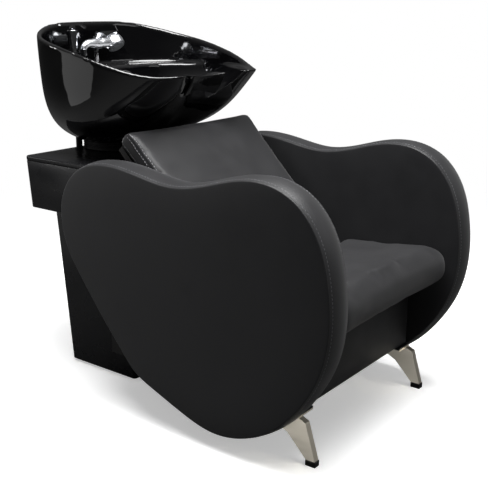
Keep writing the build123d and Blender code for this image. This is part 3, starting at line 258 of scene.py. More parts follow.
def makeFloor():
    # white studio paper: it keeps the shadow near the object and runs out to plain white
    bm = bmesh.new()
    bmesh.ops.create_grid(bm, x_segments=2, y_segments=2, size=floorLook["reach"])
    floor = pieceFrom("studioFloor", bm)
    material = bpy.data.materials.new("studioPaper")
    material.use_nodes = True
    tree = material.node_tree
    tree.nodes.clear()
    place = addNode(tree, "ShaderNodeTexCoord").outputs["Object"]
    away = addNode(tree, "ShaderNodeVectorMath", links={0: place}, operation="LENGTH")
    fade = addNode(tree, "ShaderNodeMapRange",
                   {"From Min": floorLook["nearEdge"], "From Max": floorLook["farEdge"]},
                   {"Value": away.outputs["Value"]}, interpolation_type="SMOOTHSTEP")
    seen = addNode(tree, "ShaderNodeLightPath").outputs["Is Camera Ray"]
    shade = addNode(tree, "ShaderNodeMix", {6: hexColour(floorLook["bounce"]), 7: hexColour(floorLook["paper"])},
                    {0: seen}, data_type="RGBA")
    paper = addNode(tree, "ShaderNodeBsdfDiffuse", links={"Color": shade.outputs[2]})
    lift = addNode(tree, "ShaderNodeMath", {1: floorLook["glow"]}, {0: seen}, operation="MULTIPLY")
    glow = addNode(tree, "ShaderNodeEmission", {"Color": (1, 1, 1, 1)}, {"Strength": lift.outputs[0]})
    near = addNode(tree, "ShaderNodeAddShader", links={0: paper.outputs[0], 1: glow.outputs[0]})
    white = addNode(tree, "ShaderNodeEmission", {"Color": (1, 1, 1, 1)})
    gone = addNode(tree, "ShaderNodeMath", links={0: fade.outputs[0], 1: seen}, operation="MULTIPLY")
    mixed = addNode(tree, "ShaderNodeMixShader", links={0: gone.outputs[0], 1: near.outputs[0], 2: white.outputs[0]})
    addNode(tree, "ShaderNodeOutputMaterial", links={"Surface": mixed.outputs[0]})
    floor.data.materials.append(material)


worldLook = {"low": 0.03, "high": 0.26}


def makeWorld():
    # plain white behind the object; what lights it and shows in its gloss is a dim room, lighter overhead
    world = bpy.data.worlds.new("studio")
    world.use_nodes = True
    tree = world.node_tree
    tree.nodes.clear()
    seen = addNode(tree, "ShaderNodeLightPath").outputs["Is Camera Ray"]
    direction = addNode(tree, "ShaderNodeTexCoord").outputs["Generated"]
    height = addNode(tree, "ShaderNodeSeparateXYZ", links={0: direction}).outputs["Z"]
    room = addNode(tree, "ShaderNodeMapRange",
                   {"From Min": 0.0, "From Max": 0.9, "To Min": worldLook["low"], "To Max": worldLook["high"]},
                   {"Value": height})
    strength = addNode(tree, "ShaderNodeMix", {3: 1.0}, {0: seen, 2: room.outputs[0]})
    shade = addNode(tree, "ShaderNodeBackground", {"Color": (1, 1, 1, 1)}, {"Strength": strength.outputs[0]})
    addNode(tree, "ShaderNodeOutputWorld", links={"Surface": shade.outputs[0]})
    scene.world = world


lampLook = [
    # name, place, size, power, aimed at
    ("overhead", (-0.2, -0.3, 2.6), (2.2, 1.5), 145.0, (0, 0, 0.4)),
    ("panel", (-1.5, 1.35, 0.55), (0.8, 1.2), 1.6, (-0.25, 0.25, 0.7)),
    ("window", (-1.15, 1.72, 0.9), (0.14, 0.4), 1.5, (0.25, 0.27, 0.8)),
    ("front", (1.4, -2.8, 1.9), (1.6, 1.2), 7.0, (0, 0, 0.4)),
    ("legCard", (-0.95, -1.0, 0.14), (2.0, 0.26), 85.0, (0, -0.4, 0.05)),
]


def makeLamps():
    for name, place, size, power, target in lampLook:
        data = bpy.data.lights.new(name, "AREA")
        data.shape = "RECTANGLE"
        data.size, data.size_y = size
        data.energy = power
        lamp = bpy.data.objects.new(name, data)
        aim = (Vector(target) - Vector(place)).to_track_quat("-Z", "Y")
        lamp.matrix_world = Matrix.Translation(place) @ aim.to_matrix().to_4x4()
        scene.collection.objects.link(lamp)
        if name == "legCard":
            # a low card that only reaches the legs, as a flag in front of the arms would leave it
            legs = bpy.data.collections.new("legs")
            for node in ("front_leg_left", "front_leg_right"):
                legs.objects.link(nodes[node])
            lamp.light_linking.receiver_collection = legs


# Materials

leatherLook = {
    "fauxLeather": {"dark": "#161618", "light": "#1e1e20", "grain": 1.5 * mm, "patch": 60 * mm,
                    "rough": (0.42, 0.5), "depth": 0.05 * mm, "sheen": 0.12, "coat": 0.0},
    "shelfVinyl": {"dark": "#131315", "light": "#19191b", "grain": 2.2 * mm, "patch": 80 * mm,
                   "rough": (0.24, 0.32), "depth": 0.02 * mm, "sheen": 0.0, "coat": 0.15},
}


def makeFauxLeather(name):
    # polyurethane leather, embossed: fine pebble grain, soft sheen, slightly uneven gloss
    look = leatherLook[name]
    material, tree, shader, place = startMaterial(
        name, {"IOR": 1.48, "Specular IOR Level": 0.34, "Sheen Weight": look["sheen"], "Sheen Roughness": 0.5,
               "Coat Weight": look["coat"], "Coat Roughness": 0.25})
    clouds = addNode(tree, "ShaderNodeTexNoise", {"Scale": 1 / look["patch"], "Detail": 4.0}, {"Vector": place})
    pebbles = addNode(tree, "ShaderNodeTexVoronoi", {"Scale": 1 / look["grain"], "Smoothness": 0.6},
                      {"Vector": place}, feature="SMOOTH_F1")
    pores = addNode(tree, "ShaderNodeTexNoise", {"Scale": 3 / look["grain"], "Detail": 2.0}, {"Vector": place})
    height = addNode(tree, "ShaderNodeMath", links={0: pebbles.outputs["Distance"], 1: pores.outputs[0]},
                     operation="MULTIPLY")
    addTwoTone(tree, shader, clouds.outputs[0], look["dark"], look["light"])
    addGloss(tree, shader, clouds.outputs[0], look["rough"])
    addBump(tree, shader, height.outputs[0], 0.7, look["depth"])
    return material


glazeLook = {"colour": "#050506", "rough": 0.045, "ripple": 38 * mm, "depth": 0.10 * mm, "coat": 0.6}


def makeBlackGlaze():
    # vitreous china under a black glaze, fired: mirror gloss with the faint waves that glaze settles in
    material, tree, shader, place = startMaterial(
        "blackGlaze", {"Base Color": hexColour(glazeLook["colour"]), "Roughness": glazeLook["rough"], "IOR": 1.52,
                       "Coat Weight": glazeLook["coat"], "Coat Roughness": 0.03})
    waves = addNode(tree, "ShaderNodeTexNoise", {"Scale": 1 / glazeLook["ripple"], "Detail": 1.0}, {"Vector": place})
    addBump(tree, shader, waves.outputs[0], 0.5, glazeLook["depth"])
    return material


metalLook = {
    "chrome": {"colour": "#d9dadd", "rough": (0.04, 0.10),
               "streak": (30 * mm, 30 * mm, 30 * mm), "depth": 0.01 * mm},
    "brushedNickel": {"colour": "#dcd5c6", "rough": (0.3, 0.36),
                      "streak": (60 * mm, 60 * mm, 1.4 * mm), "depth": 0.003 * mm},
    "zincPlate": {"colour": "#b9bcc0", "rough": (0.28, 0.42),
                  "streak": (8 * mm, 8 * mm, 8 * mm), "depth": 0.02 * mm},
    "bareBrass": {"colour": "#c8a45c", "rough": (0.25, 0.4),
                  "streak": (10 * mm, 10 * mm, 10 * mm), "depth": 0.02 * mm},
    "satinSilver": {"colour": "#dfe1e5", "rough": (0.26, 0.36),
                    "streak": (12 * mm, 12 * mm, 12 * mm), "depth": 0.01 * mm},
}


def makeMetal(name):
    # plated or bare metal: the streaks are as long as the polishing or brushing left them
    look = metalLook[name]
    material, tree, shader, place = startMaterial(name, {"Base Color": hexColour(look["colour"]), "Metallic": 1.0})
    fitted = addNode(tree, "ShaderNodeMapping", {"Scale": tuple(1 / s for s in look["streak"])}, {"Vector": place})
    streaks = addNode(tree, "ShaderNodeTexNoise", {"Scale": 1.0, "Detail": 3.0}, {"Vector": fitted.outputs[0]})
    addGloss(tree, shader, streaks.outputs[0], look["rough"])
    addBump(tree, shader, streaks.outputs[0], 0.4, look["depth"])
    return material


mouldedLook = {
    "blackRubber": {"dark": "#0e0e0f", "light": "#171718", "rough": (0.6, 0.8),
                    "texture": 1.2 * mm, "depth": 0.05 * mm},
    "hoseRubber": {"dark": "#0c0c0d", "light": "#131314", "rough": (0.3, 0.42),
                   "texture": 3 * mm, "depth": 0.02 * mm},
    "blackPolypropylene": {"dark": "#121213", "light": "#18181a", "rough": (0.45, 0.6),
                           "texture": 0.9 * mm, "depth": 0.04 * mm},
    "powderCoat": {"dark": "#151516", "light": "#1b1b1c", "rough": (0.5, 0.62),
                   "texture": 1.4 * mm, "depth": 0.05 * mm},
    "neckGel": {"dark": "#050506", "light": "#0b0b0c", "rough": (0.08, 0.2),
                "texture": 14 * mm, "depth": 0.9 * mm},
    "sprayNozzlePlastic": {"dark": "#7e8185", "light": "#8c8f93", "rough": (0.35, 0.5),
                           "texture": 2 * mm, "depth": 0.02 * mm},
    "dustCloth": {"dark": "#0c0c0c", "light": "#161616", "rough": (0.85, 0.95),
                  "texture": 1.6 * mm, "depth": 0.15 * mm},
}


def makeMoulded(name):
    # moulded, coated or felted in one colour, with the surface that its mould, spray or press left
    look = mouldedLook[name]
    material, tree, shader, place = startMaterial(name, {"IOR": 1.5})
    clouds = addNode(tree, "ShaderNodeTexNoise", {"Scale": 0.1 / look["texture"], "Detail": 3.0}, {"Vector": place})
    texture = addNode(tree, "ShaderNodeTexNoise", {"Scale": 1 / look["texture"], "Detail": 2.0}, {"Vector": place})
    addTwoTone(tree, shader, clouds.outputs[0], look["dark"], look["light"])
    addGloss(tree, shader, texture.outputs[0], look["rough"])
    addBump(tree, shader, texture.outputs[0], 0.6, look["depth"])
    return material


woodLook = {"early": "#191715", "late": "#100f0e", "ring": 6 * mm, "along": 90 * mm, "rough": 0.62, "depth": 0.1 * mm}


def makePlywood():
    # birch plywood stained black, with long flame grain
    look = woodLook
    material, tree, shader, place = startMaterial("birchPlywood", {"Roughness": look["rough"]})
    fitted = addNode(tree, "ShaderNodeMapping", {"Scale": (1 / look["along"], 1 / look["ring"], 1 / look["ring"])},
                     {"Vector": place})
    grain = addNode(tree, "ShaderNodeTexNoise", {"Scale": 1.0, "Detail": 5.0, "Distortion": 0.6},
                    {"Vector": fitted.outputs[0]})
    addTwoTone(tree, shader, grain.outputs[0], look["early"], look["late"])
    addBump(tree, shader, grain.outputs[0], 0.3, look["depth"])
    return material


threadLook = {
    # thread colours set lighter than the thread alone: partly the thread's own grey, partly a painted highlight for
    # the light the stitches catch
    "greyThreadPaintedHighlight": {"colour": "#6c6c70", "twist": 0.4 * mm},
    "lightThreadPaintedHighlight": {"colour": "#9a9a9d", "twist": 0.4 * mm},
}


def makeThread(name):
    # bonded polyester thread, with the bright side of each twist; its grey is partly its own colour and partly a
    # painted highlight
    look = threadLook[name]
    material, tree, shader, place = startMaterial(name, {"Base Color": hexColour(look["colour"]), "Sheen Weight": 0.3})
    twist = addNode(tree, "ShaderNodeTexNoise", {"Scale": 1 / look["twist"]}, {"Vector": place})
    gloss = addNode(tree, "ShaderNodeMapRange", {"To Min": 0.35, "To Max": 0.6}, {"Value": twist.outputs[0]})
    tree.links.new(gloss.outputs[0], shader.inputs["Roughness"])
    return material


seatLeather = makeFauxLeather("fauxLeather")
shelfVinyl = makeFauxLeather("shelfVinyl")
blackGlaze = makeBlackGlaze()
chrome = makeMetal("chrome")
brushedNickel = makeMetal("brushedNickel")
zincPlate = makeMetal("zincPlate")
bareBrass = makeMetal("bareBrass")
satinSilver = makeMetal("satinSilver")
blackRubber = makeMoulded("blackRubber")
hoseRubber = makeMoulded("hoseRubber")
blackPolypropylene = makeMoulded("blackPolypropylene")
powderCoat = makeMoulded("powderCoat")
neckGel = makeMoulded("neckGel")
sprayPlastic = makeMoulded("sprayNozzlePlastic")
dustCloth = makeMoulded("dustCloth")
plywood = makePlywood()
thread = makeThread("greyThreadPaintedHighlight")
lightThreadAndPaintedHighlight = makeThread("lightThreadPaintedHighlight")
slotMaterials = {
    "seat_leather": seatLeather, "shelf_vinyl": shelfVinyl, "carcass_wood": plywood, "dust_cloth": dustCloth,
    "black_steel": powderCoat, "zinc_steel": zincPlate, "brushed_nickel": brushedNickel,
    "black_plastic": blackPolypropylene, "black_rubber": blackRubber, "hose_rubber": hoseRubber,
    "black_glaze": blackGlaze, "neck_gel": neckGel, "chrome": chrome, "silver_plastic": satinSilver,
    "spray_plastic": sprayPlastic, "brass": bareBrass,
}


def paintNodes():
    for entry in frame["record"]["subparts"]:
        piece = nodes[entry["node"]]
        piece.data.materials.clear()
        piece.data.materials.append(slotMaterials[entry["material_slot"]])


makeCamera()
makeFloor()
makeWorld()
makeLamps()
paintNodes()
print("stage and materials made")


# Padded leather

def remesh(piece, size):
    change = piece.modifiers.new("remesh", "REMESH")
    change.mode = "VOXEL"
    change.voxel_size = size
    applyModifiers(piece)


clothLook = {"quality": 6, "mass": 0.3, "pressure": 4.0, "stretch": 14.0, "bend": 4.0, "frames": 20, "least": 1e-9}


def inflate(piece, look):
    # foam pushing its cover outwards: a cloth with air behind it, stopped where the foam would stop
    remesh(piece, look["voxel"])
    movePoints(piece, pointsOf(piece) - look["start"] * normalsOf(piece))
    remesh(piece, look["voxel"])
    cloth = piece.modifiers.new("cover", "CLOTH")
    cloth.settings.quality = clothLook["quality"]
    cloth.settings.mass = clothLook["mass"]
    cloth.settings.tension_stiffness = clothLook["stretch"]
    cloth.settings.compression_stiffness = clothLook["stretch"]
    cloth.settings.bending_stiffness = clothLook["bend"]
    cloth.settings.use_pressure = True
    cloth.settings.uniform_pressure_force = clothLook["pressure"]
    cloth.settings.effector_weights.gravity = 0.0
    cloth.collision_settings.use_collision = False
    cloth.point_cache.frame_end = clothLook["frames"]
    start = pointsOf(piece)
    for frameNumber in range(1, clothLook["frames"] + 1):
        scene.frame_set(frameNumber)
    swollen = piece.evaluated_get(bpy.context.evaluated_depsgraph_get())
    moved = pointsOf(swollen) - start
    far = np.linalg.norm(moved, axis=1, keepdims=True)
    moved *= np.minimum(1, look["cap"] / np.maximum(far, clothLook["least"]))
    piece.modifiers.clear()
    movePoints(piece, start + moved)
    scene.frame_set(1)
    evenOut(piece, look["even"])
    finer = piece.modifiers.new("finer", "SUBSURF")
    finer.levels = finer.render_levels = 1
    applyModifiers(piece)


def sewLine(piece, path, width, depth):
    # the cover is pulled in along a seam: points near the path sink along their normals
    tree = nearnessTree(path)
    away = np.array([tree.find(place)[2] for place in pointsOf(piece)])
    sink = depth * np.exp(-(away / width)**2)
    movePoints(piece, pointsOf(piece) - sink[:, None] * normalsOf(piece))


def evenPath(points, gap):
    # a path through a few points, read off at equal steps
    points = np.array(points, float)
    along = lengthAlong(points)
    return readAlong(points, along, np.linspace(0, along[-1], max(2, int(along[-1] / gap))))


def layOn(piece, path):
    # the path brought onto the surface, with the surface's normal at each point
    tree = BVHTree.FromObject(piece, bpy.context.evaluated_depsgraph_get())
    laid = [tree.find_nearest(Vector(point)) for point in path]
    return np.array([found[0] for found in laid]), np.array([found[1] for found in laid])


stitchLook = {"length": 5.6 * mm, "pitch": 8.2 * mm, "thick": 0.95 * mm, "sides": 6, "rings": 4}


def stitchRow(name, path, normals, closed=True):
    # lockstitches in thick thread, one after another along the path, half sunk in the leather
    look = stitchLook
    loop = np.vstack([path, path[:1]]) if closed else path
    faces = np.vstack([normals, normals[:1]]) if closed else normals
    along = lengthAlong(loop)
    count = int(along[-1] / look["pitch"])
    half, thick = look["length"] / 2, look["thick"] / 2
    bm = bmesh.new()
    for s in (np.arange(count) + 0.5) * along[-1] / count:
        back, middle, front = readAlong(loop, along, [s - half, s, s + half])
        ahead = Vector(front - back).normalized()
        up = Vector(readAlong(faces, along, s)).normalized()
        side = ahead.cross(up).normalized()
        turn = Matrix((ahead * half, side * thick, side.cross(ahead) * thick)).transposed().to_4x4()
        lying = Matrix.Rotation(math.pi / 2, 4, "Y")
        bmesh.ops.create_uvsphere(bm, u_segments=look["rings"], v_segments=look["sides"], radius=1,
                                  matrix=Matrix.Translation(middle) @ turn @ lying)
    mesh = bpy.data.meshes.new(name)
    bm.to_mesh(mesh)
    bm.free()
    row = bpy.data.objects.new(name, mesh)
    scene.collection.objects.link(row)
    return row


# Arms

armLook = {
    "outline": [(1.0, 0.718), (0.975, 0.857), (0.904, 0.943), (0.791, 0.972), (0.666, 0.953), (0.54, 0.931),
                (0.421, 0.953), (0.322, 0.988), (0.217, 1.0), (0.123, 0.96), (0.046, 0.849), (0.008, 0.688),
                (0.0, 0.546), (0.026, 0.36), (0.081, 0.227), (0.174, 0.096), (0.277, 0.022), (0.388, 0.0),
                (0.503, 0.036), (0.625, 0.096), (0.687, 0.134), (0.749, 0.213), (0.832, 0.339), (0.917, 0.48),
                (0.976, 0.599)],
    "front": -496.5 * mm, "foot": 43 * mm, "length": 757 * mm, "height": 581 * mm, "points": 400,
    "seams": (266 * mm, 332 * mm), "crown": 6 * mm, "fold": 2.2 * mm, "sunk": 7 * mm,
    "rise": 8 * mm, "edge": 3.2 * mm, "soften": 34 * mm, "reach": 60 * mm, "ripple": 0.35 * mm, "sag": 0.7 * mm,
    "stitchIn": 6 * mm, "level": 0.5 * mm, "wave": 160 * mm, "pulls": 7, "pullScale": 3, "near": 1.6 * mm,
    "roundSteps": 4, "faceSteps": 12, "bandSteps": 14, "padding": 0.95,
}


def quarterTurn(steps):
    return [math.pi / 2 * i / steps for i in range(steps + 1)]


def armOutline():
    look = armLook
    corners = [(look["front"] + share[0] * look["length"], look["foot"] + share[1] * look["height"])
               for share in look["outline"]]
    return closedCurve(corners, look["points"])


def bandOffset(x):
    inner, outer = armLook["seams"]
    t = (x - inner) / (outer - inner)
    return armLook["crown"] * (1 - (2 * t - 1)**2)


def armBand(name, side):
    # the leather strip over the arm's edge, crowned by the wadding and folded in at both seams
    look = armLook
    loop = armOutline()
    normals = outwards(loop)
    inner, outer = look["seams"]
    fold = look["fold"]
    turn = quarterTurn(look["roundSteps"])
    innerTop, outerTop = bandOffset(inner + fold) - fold, bandOffset(outer - fold) - fold
    profile = [(inner, -look["sunk"])]
    profile += [(inner + fold - fold * math.cos(a), innerTop + fold * math.sin(a)) for a in turn]
    profile += [(x, bandOffset(x)) for x in np.linspace(inner + fold, outer - fold, look["bandSteps"] + 1)[1:-1]]
    profile += [(outer - fold + fold * math.sin(a), outerTop + fold * math.cos(a)) for a in turn]
    profile += [(outer, -look["sunk"]), (inner, -look["sunk"])]
    rings = []
    for x, off in profile:
        ring = loop + off * normals
        rings.append([(side * x, y, z) for y, z in ring])
    return extrudeRings(name, rings)


def armFace(name, side, outer):
    # the padded face within the band: its edge rounds down to the seam, its middle is nearly flat
    look = armLook
    loop = armOutline()
    normals = outwards(loop)
    seam = look["seams"][1] if outer else look["seams"][0]
    way = 1 if outer else -1
    edge, rise = look["edge"], look["rise"] - look["edge"] - look["level"]
    profile = [(edge, -look["sunk"]), (0.0, -look["sunk"] + edge)]
    profile += [(edge * (1 - math.cos(a)), edge * math.sin(a)) for a in quarterTurn(look["roundSteps"])]
    profile += [(edge + d, edge + rise * (1 - math.exp(-d / look["soften"])))
                for d in np.linspace(0, look["reach"], look["faceSteps"] + 1)[1:]]
    inwards = [loop - d * normals for d, up in profile]
    heights = [up for d, up in profile]
    middle = inwards[-1].mean(0)
    for share in np.linspace(1, 0, look["faceSteps"] + 1)[1:]:
        inwards.append(middle + share * (inwards[len(profile) - 1] - middle))
        heights.append(heights[-1])
    inwards.insert(0, np.repeat(middle[None], len(loop), 0))
    heights.insert(0, -look["sunk"])
    along = np.arange(len(loop)) * (2 * math.pi / len(loop))
    rings = []
    for ring, up in zip(inwards, heights):
        shape = []
        for turn, (y, z) in zip(along, ring):
            rest = up
            if up > edge:
                # the foam sags a little in the middle, and the cover is pulled at its seam
                waves = noise.noise(Vector((y, z, 3 * side + way)) / look["wave"])
                pulls = noise.noise(Vector((look["pulls"] * math.cos(turn), look["pulls"] * math.sin(turn), way))
                                    * look["pullScale"])
                near = math.exp(-max(0, up - edge) / look["near"])
                rest = up + look["sag"] * waves * (1 - near) + look["ripple"] * pulls * near
            shape.append((side * (seam + way * rest), y, z))
        rings.append(shape)
    return extrudeRings(name, rings)


def bandPath(x, side):
    # a line round the band, with the band's normal at each point
    loop = armOutline()
    normals = outwards(loop)
    lifted = loop + bandOffset(x) * normals
    return np.array([(side * x, y, z) for y, z in lifted]), np.array([(0, a, b) for a, b in normals])


def makeArms():
    inner, outer = armLook["seams"]
    for name, side in (("right", 1), ("left", -1)):
        for piece, node in ((armBand("armBand_" + name, side), "arm_band_"),
                            (armFace("armOuterPad_" + name, side, True), "arm_outer_pad_"),
                            (armFace("armInnerPad_" + name, side, False), "arm_inner_pad_")):
            dress(piece, seatLeather, "stand", "seat_leather", node + name)
        for seam, x in (("outer", outer - armLook["stitchIn"]), ("inner", inner + armLook["stitchIn"])):
            # the grey thread along the band is partly a painted highlight of the light line on the band's top
            row = stitchRow(f"armStitch_{seam}_{name}", *bandPath(x, side))
            dress(row, thread, "stand", "seat_leather")


makeArms()
print("arms made")


# Seat and back

seatLook = {"voxel": 6 * mm, "cap": 10 * mm, "even": 14, "start": 8 * mm, "armFace": 257.2 * mm, "padding": 0.85}


def makeSeat():
    seat = copyNode("seat_cushion", "seatCushion")
    inflate(seat, seatLook)
    places = pointsOf(seat)
    places[:, 0] = np.clip(places[:, 0], -seatLook["armFace"], seatLook["armFace"])
    movePoints(seat, places)
    dress(seat, seatLeather, "stand", "seat_leather", "seat_cushion")


backLook = {"voxel": 5.5 * mm, "cap": 8 * mm, "even": 8, "start": 6 * mm, "foot": (-167.6 * mm, 370 * mm),
            "lean": 45.65, "half": 244 * mm, "length": 437.7 * mm, "thick": 51 * mm, "corner": 20 * mm,
            "bottom": 15 * mm, "clear": 8 * mm, "above": 12 * mm, "over": 6 * mm, "gap": 2 * mm, "seam": 2.5 * mm,
            "seamIn": 1 * mm, "sink": 1.6 * mm, "stitchIn": {"end": 4.5 * mm, "face": 7 * mm}, "padding": 0.9}


def backPoint(x, along, behind):
    # a place on the back: across, up its face from the foot, and behind the face
    y, z = backLook["foot"]
    lean = math.radians(backLook["lean"])
    return (x, y + along * math.cos(lean) + behind * math.sin(lean),
            z + along * math.sin(lean) - behind * math.cos(lean))


def endLine(side, inset):
    # the edge of one end of the back: up its front, round the top and down its rear
    look = backLook
    top, rear, corner = look["length"] - inset, look["thick"] - inset, look["corner"] - inset
    turn = quarterTurn(6)
    line = [(look["bottom"], inset)]
    line += [(top - corner * (1 - math.sin(a)), inset + corner * (1 - math.cos(a))) for a in turn]
    line += [(top - corner * (1 - math.cos(a)), rear - corner * (1 - math.sin(a))) for a in turn]
    line += [(look["bottom"], rear)]
    x = side * (look["half"] + look["clear"])
    return evenPath([backPoint(x, along, behind) for along, behind in line], look["gap"])


def faceLine(side, inset):
    # a line up the back's face, beside its end
    look = backLook
    line = [(look["bottom"], -look["above"]), (look["length"] - look["corner"], -look["above"]),
            (look["length"] + look["over"], look["over"])]
    x = side * (look["half"] - inset)
    return evenPath([backPoint(x, along, behind) for along, behind in line], look["gap"])


def makeBack():
    look = backLook
    back = copyNode("back_cushion", "backCushion")
    inflate(back, look)
    for side in (-1, 1):
        sewLine(back, layOn(back, endLine(side, look["seamIn"]))[0], look["seam"], look["sink"])
    dress(back, seatLeather, "stand", "seat_leather", "back_cushion")
    # the pale thread is partly a painted highlight, and down the rear edge it stands in for the edge's light line
    for name, side in (("right", 1), ("left", -1)):
        for place, line in (("end", endLine), ("face", faceLine)):
            path, normals = layOn(back, line(side, look["stitchIn"][place]))
            row = stitchRow(f"backStitch_{place}_{name}", path, normals, closed=False)
            dress(row, lightThreadAndPaintedHighlight, "stand", "seat_leather")


makeSeat()
makeBack()
print("seat and back made")


# Boards under leather and vinyl

boardLook = {"edge": 2.5 * mm, "steps": 3, "sharp": 25, "flat": 1, "wrap": 1.4 * mm, "wrapDepth": 60 * mm,
             "deckThick": 15 * mm}


def wrapBoard(node, name, material, body, slot):
    # a board under thin wadding and its cover: flat, with softly rounded edges
    look = boardLook
    board = copyNode(node, name)
    bm = bmesh.new()
    bm.from_mesh(board.data)
    bmesh.ops.dissolve_limit(bm, angle_limit=math.radians(look["flat"]), verts=bm.verts, edges=bm.edges)
    bm.to_mesh(board.data)
    bm.free()
    rounded = board.modifiers.new("rounded", "BEVEL")
    rounded.width = look["edge"]
    rounded.segments = look["steps"]
    rounded.limit_method = "ANGLE"
    rounded.angle_limit = math.radians(look["sharp"])
    rounded.use_clamp_overlap = True
    rounded.harden_normals = True
    applyModifiers(board)
    dress(board, material, body, slot, node)


def makeDeckWrap():
    # the cover is drawn under the cushion and over the deck's front edge
    look = boardLook
    low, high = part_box("seat_deck")
    bm = bmesh.new()
    front, top, out = low[1], high[2], look["wrap"]
    under, back = top - look["deckThick"], front + look["wrapDepth"]
    rise = (under - low[2]) / (high[1] - low[1])
    profile = [(back, top + out), (front, top + out), (front - out, top), (front - out, under), (front, under - out),
               (back, under - out), (back, under), (front, under), (front, top), (back, top)]
    ring = [(y, z - rise * (y - front)) for y, z in profile]
    verts = [[bm.verts.new((x, y, z)) for y, z in ring] for x in (low[0], high[0])]
    for k in range(len(ring)):
        n = (k + 1) % len(ring)
        bm.faces.new((verts[0][k], verts[0][n], verts[1][n], verts[1][k]))
    bm.faces.new(verts[0])
    bm.faces.new(verts[1])
    wrap = pieceFrom("deckWrap", bm)
    dress(wrap, seatLeather, "stand", "seat_leather")


for node, name, material, slot in (("front_apron", "frontApron", seatLeather, "seat_leather"),
                                   ("shelf_box", "shelfBox", shelfVinyl, "shelf_vinyl"),
                                   ("shelf_top", "shelfTop", shelfVinyl, "shelf_vinyl"),
                                   ("column_shell", "columnShell", shelfVinyl, "shelf_vinyl")):
    wrapBoard(node, name, material, "stand", slot)
makeDeckWrap()
print("boards made")


# Bowl

bowlLook = {"voxel": 3.7 * mm, "smooth": 22, "lip": 9 * mm, "settle": 5, "sharp": 25, "step": 3 * mm,
            "roomTop": 652.5 * mm, "roomMiddle": (0, 350 * mm), "basinTop": 765 * mm, "basinMiddle": (0, 270 * mm),
            "thicken": 4 * mm, "level": 0.5}


def smoothCopy(node, name, look, material, body, slot):
    # cast, pressed or moulded in one: the CAD piece with every edge rounded by the mould
    piece = copyNode(node, name)
    remesh(piece, look["voxel"])
    evenOut(piece, look["smooth"])
    return dress(piece, material, body, slot, node)


def sharpEdges(bm, angle, gap):
    # points along every edge that the glaze rounds over
    points = []
    for edge in bm.edges:
        if len(edge.link_faces) == 2 and edge.calc_face_angle() > math.radians(angle):
            count = max(1, int(edge.calc_length() / gap))
            points += [edge.verts[0].co.lerp(edge.verts[1].co, k / count) for k in range(count + 1)]
    return points


def thickenWall(piece):
    # the wall is thin in places, so before the remesh it grows inwards, into the basin and the room under it
    look = bowlLook
    places, flat = pointsOf(piece), normalsOf(piece)[:, :2]
    low = places[:, 2:] < look["roomTop"]
    middle = np.where(low, look["roomMiddle"], look["basinMiddle"])
    inner = (places[:, 2] < look["basinTop"]) & ((flat * (middle - places[:, :2])).sum(1) > 0)
    # where a normal is nearly upright, the step shrinks with what lies level of it
    steps = np.maximum(np.linalg.norm(flat, axis=1, keepdims=True), look["level"])
    places[inner, :2] += look["thicken"] * (flat / steps)[inner]
    movePoints(piece, places)


def makeBowl():
    # slip-cast shape: broad surfaces stay where the CAD has them, every edge is rounded by the glaze
    look = bowlLook
    bm = bmesh.new()
    bm.from_mesh(nodes["basin_bowl"].data)
    bmesh.ops.remove_doubles(bm, verts=bm.verts, dist=weld)
    shape = BVHTree.FromBMesh(bm)
    rim = nearnessTree(sharpEdges(bm, look["sharp"], look["step"]))
    bm.free()
    bowl = copyNode("basin_bowl", "bowl")
    thickenWall(bowl)
    remesh(bowl, look["voxel"])
    cast = pointsOf(bowl)
    evenOut(bowl, look["smooth"])
    rounded = pointsOf(bowl)
    near = np.array([shape.find_nearest(Vector(place))[0] for place in cast])
    away = np.array([rim.find(place)[2] for place in near]) / look["lip"]
    share = np.clip(away, 0, 1)[:, None]
    share = share * share * (3 - 2 * share)
    movePoints(bowl, rounded + share * (near - rounded))
    evenOut(bowl, look["settle"])
    dress(bowl, blackGlaze, "basin", "black_glaze", "basin_bowl")
    print("bowl made,", len(bowl.data.polygons), "faces")


makeBowl()


gelLook = {"voxel": 1.6 * mm, "smooth": 14, "padding": 1.0}
neckPad = smoothCopy("neck_rest", "neckRest", gelLook, neckGel, "basin", "neck_gel")


bellowsLook = {"voxel": 1.5 * mm, "smooth": 2, "foot": (0, 393.5 * mm, 582 * mm), "head": (0, 393.5 * mm, 604 * mm)}
bellows = smoothCopy("tilt_bellows", "hingeBellows", bellowsLook, blackRubber, None, "black_rubber")
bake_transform(bellows)


handsetLook = {"voxel": 1.1 * mm, "smooth": 6}
smoothCopy("handset_body", "handShower", handsetLook, satinSilver, "hand_shower", "silver_plastic")
print("neck rest, bellows and hand shower made")


# Hoses

hoseLook = {"radius": 6 * mm, "sides": 5, "steps": 8}
tailLow, loopTop = 735, 773
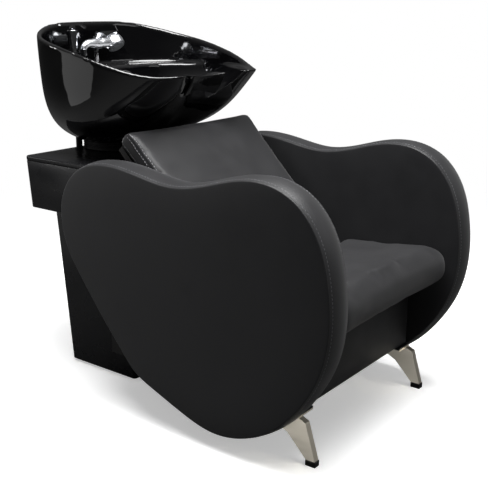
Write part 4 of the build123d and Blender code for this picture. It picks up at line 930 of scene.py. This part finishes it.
# in mm, as the CAD has them
hoseRoutes = {
    "hotHose": [(-112.5, 447, loopTop), (-112.5, 447, tailLow), (-104, 447.5, 692), (-101, 447.5, 652),
                (-101, 447.5, 532), (-100.6, 422.5, 478), (-100.1, 393.8, 415), (-99.9, 381.2, 340),
                (-100, 385, 250), (-100, 385, 140)],
    "coldHose": [(-103.3, 457.1, loopTop), (-103.3, 457.1, tailLow), (-91, 458.5, 692), (-84, 458.5, 652),
                 (-84, 458.5, 532), (-71.2, 429.1, 478), (-56.5, 395.3, 415), (-50.1, 380.6, 340),
                 (-52, 385, 250), (-52, 385, 140)],
    "showerHose": [(-95.9, 445.6, loopTop), (-95.9, 445.6, 745), (-80, 445, 715), (-45, 446, 692), (-8, 449, 668),
                   (20, 453, 638), (30, 455, 600), (36, 446, 535), (55, 420, 470), (74, 399, 405), (80, 392, 335),
                   (77, 390, 265), (48, 389, 222), (2, 389, 222), (-25, 389, 265), (-29, 391, 335), (-31, 397, 410),
                   (-40, 418, 475), (-49, 441, 540), (-50, 445, 600), (-57, 442, 645), (-73, 434, 690),
                   (-85, 428.5, 740), (-85, 428.5, loopTop), (-85, 428.5, 827)],
}


def makeHose(name, length, farEnd, onIt, *replaced):
    # one smooth curve through the route's points
    data = bpy.data.curves.new(name, "CURVE")
    data.dimensions = "3D"
    data.bevel_depth = hoseLook["radius"]
    data.bevel_resolution = hoseLook["sides"]
    data.resolution_u = hoseLook["steps"]
    data.use_fill_caps = True
    spline = data.splines.new("NURBS")
    route = hoseRoutes[name]
    spline.points.add(len(route) - 1)
    for point, place in zip(spline.points, route):
        point.co = (*(v * mm for v in place), 1)
    spline.order_u = 3
    spline.use_endpoint_u = True
    data.materials.append(hoseRubber)
    hose = bpy.data.objects.new(name, data)
    scene.collection.objects.link(hose)
    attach(hose, "basin")
    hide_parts(*replaced)


makeHose("hotHose", 0.645, "object", [], "hot_hose")
makeHose("coldHose", 0.653, "object", [], "cold_hose")
makeHose("showerHose", 1.291, "tool", [nodes["handset_nut"]], "hose_loop", "shower_hose")
print("hoses made")
